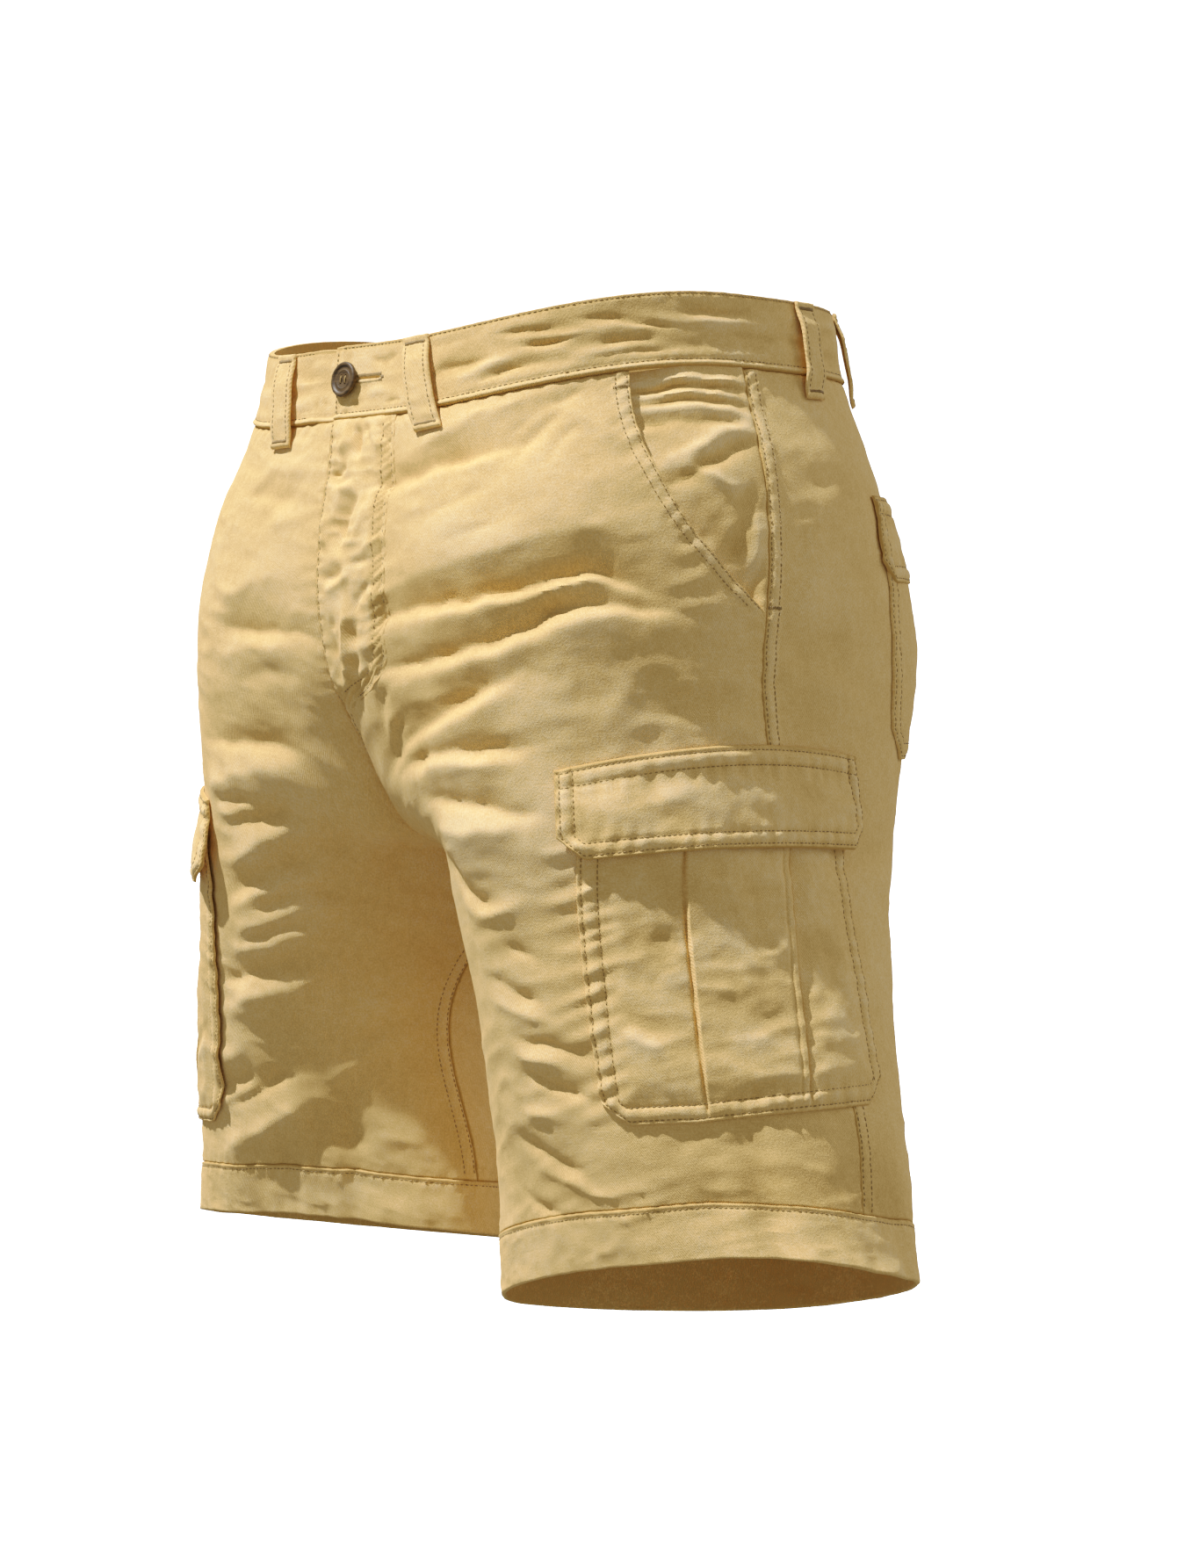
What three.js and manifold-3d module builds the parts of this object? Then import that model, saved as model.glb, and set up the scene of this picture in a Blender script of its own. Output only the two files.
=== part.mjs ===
import * as THREE from 'three';
import { mergeVertices } from 'three/addons/utils/BufferGeometryUtils.js';
import Module from 'manifold-3d';

// Men's cargo shorts in cotton twill, filled out as worn with nobody in them.
// Millimetres: +X is the wearer's left, -Y the front and +Z up. The origin is the middle of the waist, level
// with half the waistband's height at the sides.
//
// Every piece lies on one form. A place on the cloth is (side, across, drop): side is 1 on the wearer's left
// and -1 on the right, across is the length round the cloth from the side line, minus towards the front, and
// drop is the length down from the waist seam.

// Driving sizes
const BAND_HEIGHT = 38;
const CROTCH_DROP = 241;
const HEM_SEAM_DROP = 430;
const HEM_DROP = 460;
const PANEL_WALL = 1.6;
const BAND_WALL = 2.5;
const HEM_WALL = 2.7;
const BAND_PROUD = 0.6;           // the waistband's and hems' outside stands this far above the panels
const SIDE_GAP = 0.15;            // from an edge to its seam line
const ROUND_GAP = 0.35;           // the same at the waist and hem seams
const LAID_ON = 0.95;             // from a panel to the back of what lies on it

// The form: half the garment at each drop, before the legs are posed. Front, side and back are the middles
// of the three faces, inner is the centre seam and, below the crotch, the inside leg seam. A rise lifts the
// section there above the level of the side.
const COLUMNS = ['drop', 'sideX', 'sideY', 'frontX', 'frontY', 'backX', 'backY',
  'innerX', 'innerFrontY', 'innerBackY', 'frontRise', 'backRise', 'innerFrontRise', 'innerBackRise'];
const SECTIONS = [
  [-38, 141, 12, 40, -123, 40, 138, 0, -126, 137, -24, 3, -24, 3],
  [0, 149, 9, 45, -129, 45, 142, 0, -132, 141, -24, 3, -24, 3],
  [57, 171, 3, 60, -141, 55, 154, 0, -140, 149, -16, 3, -16, 3],
  [115, 182, -3, 75, -144, 70, 165, 0, -141, 150, -9, 3, -9, 3],
  [172, 185, -4, 85, -138, 85, 156, 0, -117, 118, -3, 2, -8, 6],
  [215, 187, -3, 95, -131, 95, 141, 0, -60, 70, 0, 1, -23, 6],
  [241, 191, -3, 100, -126, 100, 132, 0, 8, 8, 0, 0, 0, 0],
  [325, 215, 0, 114, -108, 114, 115, 32, -28, -28, 0, 0, 0, 0],
  [428, 253, 3, 132, -82, 132, 97, 22, -16, -16, 0, 0, 0, 0],
  [460, 265, 4, 136, -73, 136, 90, 19, -16, -16, 0, 0, 0, 0],
];
const INNER_COLUMNS = ['innerX', 'innerFrontY', 'innerBackY', 'innerFrontRise', 'innerBackRise'];
const CROTCH_ROW = 6;
// How square each quarter of a section is: 2 is an ellipse
const SQUARENESS = { innerFront: 1.7, frontSide: 2.2, sideBack: 2.15, backInner: 1.7 };
// How each leg stands, in mm at the hem: apart, back, and its front and outside edges raised
const POSE = {
  1: { spread: -8, swing: -7, frontUp: 17, outUp: 25 },
  '-1': { spread: 13, swing: 1, frontUp: 14, outUp: -7 },
};
// The right leg's cloth has turned forward and slid down a little
const TURNED_LEG = [
  { drop: 0, turn: 0, slide: 0 }, { drop: 90, turn: -6, slide: 2 }, { drop: 190, turn: -33, slide: 17 },
  { drop: 300, turn: -30, slide: 18 }, { drop: 400, turn: -12, slide: 15 }, { drop: 428, turn: -6, slide: 4 },
  { drop: 460, turn: 0, slide: 0 },
];

// Seam lines and outlines, across the cloth at each drop
const SIDE_SEAM = [
  { drop: 0, across: 0 }, { drop: 91, across: 0 }, { drop: 150, across: -6 }, { drop: 241, across: 0 },
  { drop: 330, across: 12 }, { drop: 395, across: 14 }, { drop: 460, across: 3 },
];
const POCKET_MOUTH = [
  { drop: 0, across: -67 }, { drop: 20, across: -69 }, { drop: 40, across: -67 }, { drop: 60, across: -60 },
  { drop: 80, across: -48 }, { drop: 100, across: -29 }, { drop: 115, across: -12 }, { drop: 124, across: 0 },
];
const MOUTH_END = 124;
// The fly lap from the centre line: minus reaches over the right front
const FLY = [
  { drop: 0, edge: -2.5, width: 47 }, { drop: 20, edge: 0.4, width: 50 }, { drop: 64, edge: 0.4, width: 55 },
  { drop: 124, edge: 0.4, width: 56 }, { drop: 142, edge: 0.4, width: 53 }, { drop: 154, edge: 0.4, width: 41 },
  { drop: 163, edge: 0.4, width: 16 },
];

// The largest folds: a soft ridge, or a trough where height is minus, between two places on the cloth
const FOLDS = [
  { side: 1, from: [-196, 121], to: [-108, 84], height: 3.0, width: 13 },
  { side: 1, from: [-198, 140], to: [-92, 101], height: -3.0, width: 11 },
  { side: 1, from: [-196, 160], to: [-62, 132], height: 3.0, width: 12 },
  { side: 1, from: [-214, 200], to: [-130, 178], height: 3.0, width: 11 },
  { side: 1, from: [-187, 253], to: [-139, 268], height: 3.0, width: 10 },
  { side: 1, from: [-172, 340], to: [-140, 356], height: 3.0, width: 11 },
  { side: 1, from: [-181, 391], to: [-141, 412], height: -2.5, width: 11 },
  { side: -1, from: [-190, 109], to: [-215, 116], height: 2.5, width: 13 },
  { side: -1, from: [-176, 186], to: [-265, 173], height: -3.0, width: 11 },
  { side: -1, from: [-190, 205], to: [-263, 190], height: 3.0, width: 11 },
  { side: -1, from: [-180, 282], to: [-232, 262], height: 3.0, width: 12 },
  { side: -1, from: [-172, 350], to: [-218, 318], height: 3.5, width: 12 },
  { side: -1, from: [-165, 385], to: [-226, 346], height: -3.0, width: 12 },
  { side: 1, from: [232, 226], to: [150, 214], height: -3.5, width: 12 },
  { side: 1, from: [225, 252], to: [150, 236], height: 3.0, width: 12 },
  { side: 1, from: [225, 330], to: [140, 300], height: -3.0, width: 13 },
  { side: -1, from: [232, 222], to: [140, 216], height: -3.5, width: 12 },
  { side: -1, from: [228, 248], to: [140, 242], height: 3.0, width: 12 },
  { side: -1, from: [230, 345], to: [130, 322], height: -3.0, width: 13 },
];

const clamp = THREE.MathUtils.clamp;
const lerp = THREE.MathUtils.lerp;
const ease = (t) => THREE.MathUtils.smoothstep(t, 0, 1);

// A smooth curve through (xs, ys), with each slope weighted between its neighbours
function curve(x, xs, ys) {
  const last = xs.length - 1;
  const step = xs.slice(1).map((value, i) => value - xs[i]);
  const slope = step.map((h, i) => (ys[i + 1] - ys[i]) / h);
  const tangent = ys.map((_, i) => {
    if (i === 0) return slope[0];
    if (i === last) return slope[last - 1];
    return (slope[i] * step[i - 1] + slope[i - 1] * step[i]) / (step[i - 1] + step[i]);
  });
  let i = 0;
  while (i < last - 1 && x >= xs[i + 1]) i += 1;
  const h = step[i];
  const t = (x - xs[i]) / h;
  const t2 = t * t;
  const t3 = t2 * t;
  return (2 * t3 - 3 * t2 + 1) * ys[i] + (t3 - 2 * t2 + t) * h * tangent[i]
    + (3 * t2 - 2 * t3) * ys[i + 1] + (t3 - t2) * h * tangent[i + 1];
}

// A column of a table of rows with a drop each, smooth between its rows and level beyond them
function along(table, column, drop) {
  const drops = table.map((row) => row.drop);
  const held = clamp(drop, drops[0], drops[drops.length - 1]);
  return curve(held, drops, table.map((row) => row[column]));
}

// The form's sizes at one drop. The inner columns turn a corner at the crotch.
function levelAt(drop) {
  const level = {};
  COLUMNS.forEach((name, k) => {
    let rows = SECTIONS;
    if (INNER_COLUMNS.includes(name)) {
      rows = drop <= CROTCH_DROP ? SECTIONS.slice(0, CROTCH_ROW + 1) : SECTIONS.slice(CROTCH_ROW);
    }
    level[name] = curve(drop, rows.map((row) => row[0]), rows.map((row) => row[k]));
  });
  return level;
}

function posed(side, level, x, y, z) {
  const pose = POSE[side];
  const leg = clamp((level.drop - CROTCH_DROP) / (HEM_DROP - CROTCH_DROP), 0, 1);
  const middleX = (level.sideX + level.innerX) / 2;
  const middleY = (level.frontY + level.backY) / 2;
  const halfX = (level.sideX - level.innerX) / 2;
  const halfY = (level.backY - level.frontY) / 2;
  const raised = pose.frontUp * (middleY - y) / halfY + pose.outUp * (x - middleX) / halfX;
  return new THREE.Vector3(side * (x + leg * pose.spread), y + leg * pose.swing, z + leg * raised);
}

// One section from the inner front round the side to the inner back. Its turn runs from -1 at the inner
// front through 0 at the side to 1 at the inner back, by length along the cloth.
const QUARTER_STEPS = 24;
const sections = new Map();
function sectionAt(side, drop) {
  const key = `${side} ${drop.toFixed(3)}`;
  if (sections.has(key)) return sections.get(key);
  const L = levelAt(drop);
  const sideZ = -BAND_HEIGHT / 2 - drop;
  const quarters = [
    (s, c, t) => [L.frontX + (L.innerX - L.frontX) * c, L.innerFrontY + (L.frontY - L.innerFrontY) * s,
      lerp(L.innerFrontRise, L.frontRise, t)],
    (s, c, t) => [L.frontX + (L.sideX - L.frontX) * s, L.sideY + (L.frontY - L.sideY) * c,
      lerp(L.frontRise, 0, t)],
    (s, c, t) => [L.backX + (L.sideX - L.backX) * c, L.sideY + (L.backY - L.sideY) * s,
      lerp(0, L.backRise, t)],
    (s, c, t) => [L.backX + (L.innerX - L.backX) * s, L.innerBackY + (L.backY - L.innerBackY) * c,
      lerp(L.backRise, L.innerBackRise, t)],
  ];
  const points = [];
  Object.values(SQUARENESS).forEach((square, k) => {
    for (let i = k === 0 ? 0 : 1; i <= QUARTER_STEPS; i += 1) {
      const angle = (i / QUARTER_STEPS) * Math.PI / 2;
      const s = Math.sin(angle) ** (2 / square);
      const c = Math.max(Math.cos(angle), 0) ** (2 / square);
      const [x, y, rise] = quarters[k](s, c, ease(i / QUARTER_STEPS));
      points.push(posed(side, L, x, y, sideZ + rise));
    }
  });
  const run = [0];
  for (let i = 1; i < points.length; i += 1) run.push(run[i - 1] + points[i].distanceTo(points[i - 1]));
  const atSide = run[2 * QUARTER_STEPS];
  const front = atSide;
  const back = run[run.length - 1] - atSide;
  const turns = run.map((length) => (length < atSide ? (length - atSide) / front : (length - atSide) / back));
  const section = { points, turns, front, back };
  sections.set(key, section);
  return section;
}

// The form at a turn. Past either end it goes on over the centre seam, or over the inside leg seam.
function formPoint(side, turn, drop) {
  if (turn < -1 || turn > 1) {
    const over = Math.abs(turn) - 1;
    if (drop <= CROTCH_DROP) return formPoint(-side, Math.sign(turn) * (1 - over), drop);
    return formPoint(side, -Math.sign(turn) * (1 - over), drop);
  }
  const { points, turns } = sectionAt(side, drop);
  let i = 0;
  while (i < turns.length - 2 && turn > turns[i + 1]) i += 1;
  const t = (turn - turns[i]) / (turns[i + 1] - turns[i]);
  return points[i].clone().lerp(points[i + 1], t);
}

function formNormal(side, turn, drop) {
  const turnStep = 0.015;
  const dropStep = 2;
  const low = Math.min(drop + dropStep, HEM_DROP);
  const high = Math.max(drop - dropStep, -BAND_HEIGHT);
  const round = formPoint(side, turn + turnStep, drop).sub(formPoint(side, turn - turnStep, drop));
  const down = formPoint(side, turn, low).sub(formPoint(side, turn, high));
  return down.cross(round).multiplyScalar(side).normalize();
}

function foldHeight(side, across, drop) {
  let height = 0;
  for (const fold of FOLDS) {
    if (fold.side !== side) continue;
    const [x0, y0] = fold.from;
    const dx = fold.to[0] - x0;
    const dy = fold.to[1] - y0;
    const length = Math.hypot(dx, dy);
    const t = ((across - x0) * dx + (drop - y0) * dy) / (length * length);
    const off = Math.abs((across - x0) * dy - (drop - y0) * dx) / length;
    const past = Math.max(0, Math.abs(t - 0.5) - 0.5) * length;
    height += fold.height * Math.exp(-((off / fold.width) ** 2) - (past / (1.5 * fold.width)) ** 2);
  }
  return height;
}

const reach = (side, drop) => sectionAt(side, drop);
const frontCentre = (side, drop) => -reach(side, drop).front;
const backCentre = (side, drop) => reach(side, drop).back;

// A point lifted off the cloth at (side, across, drop)
function cloth(side, across, drop, lift) {
  const { front, back } = reach(side, drop);
  const turn = across < 0 ? across / front : across / back;
  const height = lift + foldHeight(side, across, drop);
  return formPoint(side, turn, drop).addScaledVector(formNormal(side, turn, drop), height);
}

// Where a place on the left leg lies on either leg
function legPlace(side, across, drop) {
  if (side === 1) return [across, drop];
  return [across + along(TURNED_LEG, 'turn', drop), drop + along(TURNED_LEG, 'slide', drop)];
}

function sideSeam(side, drop) {
  const turned = side === 1 ? 0 : along(TURNED_LEG, 'turn', drop);
  return along(SIDE_SEAM, 'across', drop) + turned;
}

function pocketMouth(side, drop) {
  return sideSeam(side, drop) + (drop < MOUTH_END ? along(POCKET_MOUTH, 'across', drop) : 0);
}

// Solids and materials
const CLOTH = new THREE.MeshStandardMaterial({ color: 0xcdb183, roughness: 0.9, metalness: 0 });
const CLOTH_INSIDE = new THREE.MeshStandardMaterial({ color: 0xb89d6f, roughness: 0.9, metalness: 0 });
const HORN = new THREE.MeshStandardMaterial({ color: 0x6b5a36, roughness: 0.45, metalness: 0 });

const shorts = new THREE.Group();
function add(name, geometry, material) {
  const mesh = new THREE.Mesh(geometry, material.clone());
  mesh.name = name;
  shorts.add(mesh);
}

// A closed wall between two grids of points of one size. A ring's last column meets its first.
function wallGeometry(outer, inner, ring = false) {
  const rows = outer.length;
  const columns = outer[0].length;
  const positions = [...outer.flat(), ...inner.flat()].flatMap((p) => [p.x, p.y, p.z]);
  const id = (layer, i, j) => (layer * rows + i) * columns + (j % columns);
  const faces = [];
  const quad = (a, b, c, d) => faces.push(a, b, c, a, c, d);
  const across = ring ? columns : columns - 1;
  for (let i = 0; i < rows - 1; i += 1) {
    for (let j = 0; j < across; j += 1) {
      quad(id(0, i, j), id(0, i + 1, j), id(0, i + 1, j + 1), id(0, i, j + 1));
      quad(id(1, i, j), id(1, i, j + 1), id(1, i + 1, j + 1), id(1, i + 1, j));
    }
    if (!ring) {
      const end = columns - 1;
      quad(id(0, i, 0), id(1, i, 0), id(1, i + 1, 0), id(0, i + 1, 0));
      quad(id(0, i, end), id(0, i + 1, end), id(1, i + 1, end), id(1, i, end));
    }
  }
  for (let j = 0; j < across; j += 1) {
    const last = rows - 1;
    quad(id(0, 0, j), id(0, 0, j + 1), id(1, 0, j + 1), id(1, 0, j));
    quad(id(0, last, j), id(1, last, j), id(1, last, j + 1), id(0, last, j + 1));
  }
  const geometry = new THREE.BufferGeometry();
  geometry.setAttribute('position', new THREE.Float32BufferAttribute(positions, 3));
  geometry.setIndex(volume(positions, faces) < 0 ? faces.reverse() : faces);
  return geometry;
}

function volume(positions, faces) {
  const at = (k) => new THREE.Vector3().fromArray(positions, 3 * k);
  let total = 0;
  for (let f = 0; f < faces.length; f += 3) {
    total += at(faces[f]).dot(at(faces[f + 1]).cross(at(faces[f + 2])));
  }
  return total / 6;
}

// A wall of cloth from a function that gives [side, across, drop, lift of its back] for a row and a column
function clothWall(rows, columns, place, thickness, { ring = false, keepSide = false } = {}) {
  const layer = (extra) => rows.map((row) => columns.map((column) => {
    const [side, across, drop, lift] = place(row, column);
    const point = cloth(side, across, drop, lift + extra);
    if (keepSide) point.x = side * Math.max(side * point.x, SIDE_GAP);
    return point;
  }));
  return wallGeometry(layer(thickness), layer(0), ring);
}

const steps = (count) => Array.from({ length: count + 1 }, (_, i) => i / count);

// Front and back panels
const PANEL_ROWS = steps(24);
const FROM_CENTRE = [0, 0.025, 0.06, 0.11, 0.18, 0.26, 0.34, 0.42, 0.5, 0.58, 0.66, 0.74, 0.82, 0.91, 1];
const TO_CENTRE = FROM_CENTRE.map((column) => 1 - column).reverse();
const panelDrop = (row) => lerp(ROUND_GAP, HEM_SEAM_DROP - ROUND_GAP, row);
for (const [side, name] of [[1, 'left'], [-1, 'right']]) {
  const front = (row, column) => {
    const drop = panelDrop(row);
    const from = frontCentre(side, drop) + SIDE_GAP;
    return [side, lerp(from, pocketMouth(side, drop) - SIDE_GAP, column), drop, -PANEL_WALL];
  };
  const back = (row, column) => {
    const drop = panelDrop(row);
    const to = backCentre(side, drop) - SIDE_GAP;
    return [side, lerp(sideSeam(side, drop) + SIDE_GAP, to, column), drop, -PANEL_WALL];
  };
  add(`front_${name}`, clothWall(PANEL_ROWS, FROM_CENTRE, front, PANEL_WALL, { keepSide: true }), CLOTH);
  add(`back_${name}`, clothWall(PANEL_ROWS, TO_CENTRE, back, PANEL_WALL, { keepSide: true }), CLOTH);
}

// Front pocket facings: behind the panel at the mouth, and nearly level with it at the side seam
const FACING_WALL = 1.2;
const FACING_BEHIND = 1.0;
const FACING_TUCK = 13;
const FACING_END = 138;
for (const [side, name] of [[1, 'left'], [-1, 'right']]) {
  const facing = (row, column) => {
    const drop = lerp(ROUND_GAP, FACING_END, row);
    const seam = sideSeam(side, drop) - 2 * SIDE_GAP;
    const from = pocketMouth(side, drop) - FACING_TUCK;
    const across = lerp(from, seam, column);
    const shown = ease(clamp((across - pocketMouth(side, drop)) / 28, 0, 1));
    const outside = -(PANEL_WALL + FACING_BEHIND) * (1 - 0.8 * shown);
    return [side, across, drop, outside - FACING_WALL];
  };
  add(`pocket_facing_${name}`, clothWall(steps(9), steps(6), facing, FACING_WALL, { keepSide: true }),
    CLOTH_INSIDE);
}

// Waistband: one strip, from its left end on the lap round the back to its right end behind the lap
const LAP_TOP = 10;               // how far the left end reaches past the centre, at its top edge
const LAP_BOTTOM = 3;             // and at its bottom edge
const UNDERLAP = 30;              // how far the right end goes on behind it
const LAP_DIP = 3.3;              // how far behind it lies
function bandPlace(row, station) {
  const drop = lerp(-BAND_HEIGHT, -ROUND_GAP, row);
  const back = BAND_PROUD - BAND_WALL;
  if (station.lap) return [1, frontCentre(1, drop) - lerp(LAP_TOP, LAP_BOTTOM, row), drop, back];
  const { side, turn, under } = station;
  if (under) return [1, frontCentre(1, drop) + under, drop, back - LAP_DIP];
  const across = turn < 0 ? -turn * frontCentre(side, drop) : turn * backCentre(side, drop);
  const fromCentre = side === -1 && turn < 0 ? across - frontCentre(-1, drop) : Infinity;
  const dip = LAP_DIP * (1 - ease(clamp((fromCentre - 10) / 14, 0, 1)));
  return [side, across, drop, back - dip];
}
const BAND_QUARTER = 15;
const bandStations = [{ lap: true }];
for (let i = 0; i <= 2 * BAND_QUARTER; i += 1) bandStations.push({ side: 1, turn: i / BAND_QUARTER - 1 });
for (let i = 1; i <= 2 * BAND_QUARTER; i += 1) bandStations.push({ side: -1, turn: 1 - i / BAND_QUARTER });
bandStations.push({ under: UNDERLAP / 2 }, { under: UNDERLAP });
add('waistband', clothWall(steps(2), bandStations, bandPlace, BAND_WALL), CLOTH);

// Fly lap: the left front's doubled edge, over both fronts at the top
const FLY_WALL = 1.3;
function flyPlace(row, column) {
  const drop = lerp(ROUND_GAP, FLY[FLY.length - 1].drop, row);
  const from = along(FLY, 'edge', drop);
  const across = frontCentre(1, drop) + lerp(from, along(FLY, 'width', drop), column);
  return [1, across, drop, LAID_ON];
}
add('fly_lap', clothWall(steps(14), steps(8), flyPlace, FLY_WALL), CLOTH);

// Cargo pockets: a flat stitched margin, a fuller middle, and a box pleat between two folds
const CARGO = {
  top: 214, left: -108, right: 47, bottom: 386, cornerCut: 13, margin: 10, wall: 1.6,
  leftLean: -0.075, rightLean: -0.03, foldALean: -0.06, foldBLean: -0.12, foldA: -58.5, foldB: 4,
};
const CARGO_STATIONS = [
  { mark: 'left', offset: 0, full: 0 }, { mark: 'left', offset: 5, full: 0.05 },
  { mark: 'left', offset: CARGO.margin, full: 0.15 }, { mark: 'left', offset: 22, full: 0.75 },
  { mark: 'left', offset: 36, full: 0.75 }, { mark: 'foldA', offset: -3, full: 0.35 },
  { mark: 'foldA', offset: -0.4, full: 0.3 }, { mark: 'foldA', offset: 1, full: 0.9 },
  { mark: 'foldA', offset: 17, full: 1 }, { mark: 'foldA', offset: 34, full: 1 },
  { mark: 'foldB', offset: -17, full: 1 }, { mark: 'foldB', offset: -1, full: 0.95 },
  { mark: 'foldB', offset: 0.4, full: 0.3 }, { mark: 'foldB', offset: 2, full: 0.35 },
  { mark: 'foldB', offset: 9, full: 0.7 }, { mark: 'right', offset: -22, full: 0.75 },
  { mark: 'right', offset: -CARGO.margin, full: 0.15 }, { mark: 'right', offset: -5, full: 0.05 },
  { mark: 'right', offset: 0, full: 0 },
];
const CARGO_FULLNESS = 2.3;       // how much further the fuller middle stands off the leg
const CARGO_ROWS = [0, 0.09, 0.18, 0.28, 0.4, 0.52, 0.64, 0.76, 0.87, 0.94, 1];
function cargoPocket(side) {
  const span = CARGO.bottom - CARGO.top;
  const place = (row, station) => {
    const down = row * span;
    const mark = CARGO[station.mark] + CARGO[`${station.mark}Lean`] * down + station.offset;
    const middle = (CARGO.left + CARGO.right) / 2;
    const edge = mark < middle ? CARGO.left + CARGO.leftLean * down : CARGO.right + CARGO.rightLean * down;
    const cut = Math.max(0, CARGO.cornerCut - Math.abs(mark - edge));
    const slant = 0.12 * Math.max(0, mark + 75);
    const [across, drop] = legPlace(side, mark, CARGO.top + row * (span - cut - slant));
    const swell = ease(clamp(row / 0.28, 0, 1)) * ease(clamp((1 - row) / 0.1, 0, 1));
    return [side, across, drop, LAID_ON + CARGO_FULLNESS * station.full * (0.12 + 0.88 * swell)];
  };
  return clothWall(CARGO_ROWS, CARGO_STATIONS, place, CARGO.wall);
}

// A flap over a pocket: bowed edges and cut corners. Its back clears the pocket that it covers.
const CARGO_FLAP = {
  left: -118, right: 60, top: 187.5, topBow: 0.0011, bottom: 238.5, bottomBow: 0.0005, bowAt: -15,
  cut: 12, wall: 1.8, stands: [0.95, 1.6, 3.95, 4.8, 5.3], leg: true,
};
const BACK_FLAP = {
  left: 97, right: 233, top: 61, topBow: 0, bottom: 106, bottomBow: 0, bowAt: 165,
  cut: 12, wall: 1.8, stands: [0.95, 1.3, 3.2, 3.7, 3.9], leg: false,
};
function flap(side, sizes, columnCount) {
  const place = (row, column) => {
    const mark = lerp(sizes.left, sizes.right, column);
    const bow = (mark - sizes.bowAt) ** 2;
    const fromEnd = Math.min(mark - sizes.left, sizes.right - mark);
    const cut = Math.max(0, sizes.cut - fromEnd);
    const top = sizes.top + sizes.topBow * bow;
    const down = lerp(top, sizes.bottom + sizes.bottomBow * bow - cut, row);
    const [across, drop] = sizes.leg ? legPlace(side, mark, down) : [mark, down];
    const spot = row * (sizes.stands.length - 1);
    const k = Math.min(Math.floor(spot), sizes.stands.length - 2);
    const stand = lerp(sizes.stands[k], sizes.stands[k + 1], spot - k);
    const endDrop = lerp(0.5, 1, ease(clamp(fromEnd / 10, 0, 1)));
    return [side, across, drop, LAID_ON + (stand - LAID_ON) * endDrop];
  };
  const ends = [0, 0.03, 0.06];
  const middle = steps(columnCount).slice(1, -1);
  const columns = [...ends, ...middle.filter((c) => c > 0.07 && c < 0.93), ...ends.map((c) => 1 - c).reverse()];
  return clothWall(steps(sizes.stands.length - 1), columns, place, sizes.wall);
}

// Back pockets: plain patches with cut lower corners
const BACK_POCKET = { left: 104, right: 226, top: 84, bottom: 196, cut: 16, wall: 1.5, fullness: 1.2 };
function backPocket(side) {
  const place = (row, column) => {
    const across = lerp(BACK_POCKET.left, BACK_POCKET.right, column);
    const fromEnd = Math.min(across - BACK_POCKET.left, BACK_POCKET.right - across);
    const cut = Math.max(0, BACK_POCKET.cut - fromEnd);
    const drop = lerp(BACK_POCKET.top, BACK_POCKET.bottom - cut, row);
    const full = ease(clamp((fromEnd - 6) / 20, 0, 1)) * ease(clamp((row - 0.2) / 0.3, 0, 1))
      * ease(clamp((1 - row) / 0.12, 0, 1));
    return [side, across, drop, LAID_ON + BACK_POCKET.fullness * full];
  };
  const columns = [0, 0.07, 0.13, 0.25, 0.4, 0.55, 0.7, 0.82, 0.9, 1];
  return clothWall(steps(9), columns, place, BACK_POCKET.wall);
}

for (const [side, name] of [[1, 'left'], [-1, 'right']]) {
  add(`cargo_pocket_${name}`, cargoPocket(side), CLOTH);
  add(`cargo_flap_${name}`, flap(side, CARGO_FLAP, 14), CLOTH);
  add(`back_pocket_${name}`, backPocket(side), CLOTH);
  add(`back_flap_${name}`, flap(side, BACK_FLAP, 9), CLOTH);
}

// Hems: the turned band round each leg opening
for (const [side, name] of [[1, 'left'], [-1, 'right']]) {
  const hem = (row, column) => {
    const drop = lerp(HEM_SEAM_DROP + ROUND_GAP, HEM_DROP, row);
    const turn = 2 * column - 1;
    const across = turn < 0 ? -turn * frontCentre(side, drop) : turn * backCentre(side, drop);
    return [side, across, drop, BAND_PROUD - HEM_WALL];
  };
  add(`hem_${name}`, clothWall(steps(2), steps(42).slice(0, -1), hem, HEM_WALL, { ring: true }), CLOTH);
}

// Belt loops: strips that bow off the waistband and are fastened above and below it
const LOOP = { width: 17, wall: 1.5, top: -37.5, bottom: 13 };
const LOOP_STANDS = [
  { part: 0, lift: 1.3 }, { part: 0.1, lift: 1.6 }, { part: 0.25, lift: 3.5 }, { part: 0.5, lift: 4.1 },
  { part: 0.75, lift: 3.7 }, { part: 0.92, lift: 1.5 }, { part: 1, lift: 1.1 },
];
const LOOP_PLACES = [
  { side: 1, top: -177, bottom: -172 }, { side: -1, top: -178, bottom: -200 },
  { side: 1, top: 52, bottom: 54 }, { side: -1, top: 52, bottom: 54 },
  { side: 1, top: 118, bottom: 122 }, { side: -1, top: 118, bottom: 122 },
  { side: 1, centreBack: true },
];
LOOP_PLACES.forEach(({ side, top, bottom, centreBack }, k) => {
  const place = (stand, column) => {
    const drop = lerp(LOOP.top, LOOP.bottom, stand.part);
    const middle = centreBack ? backCentre(side, drop) : lerp(top, bottom, stand.part);
    return [side, middle + (column - 0.5) * LOOP.width, drop, stand.lift];
  };
  add(`belt_loop_${k + 1}`, clothWall(LOOP_STANDS, steps(3), place, LOOP.wall), CLOTH);
});

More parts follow.
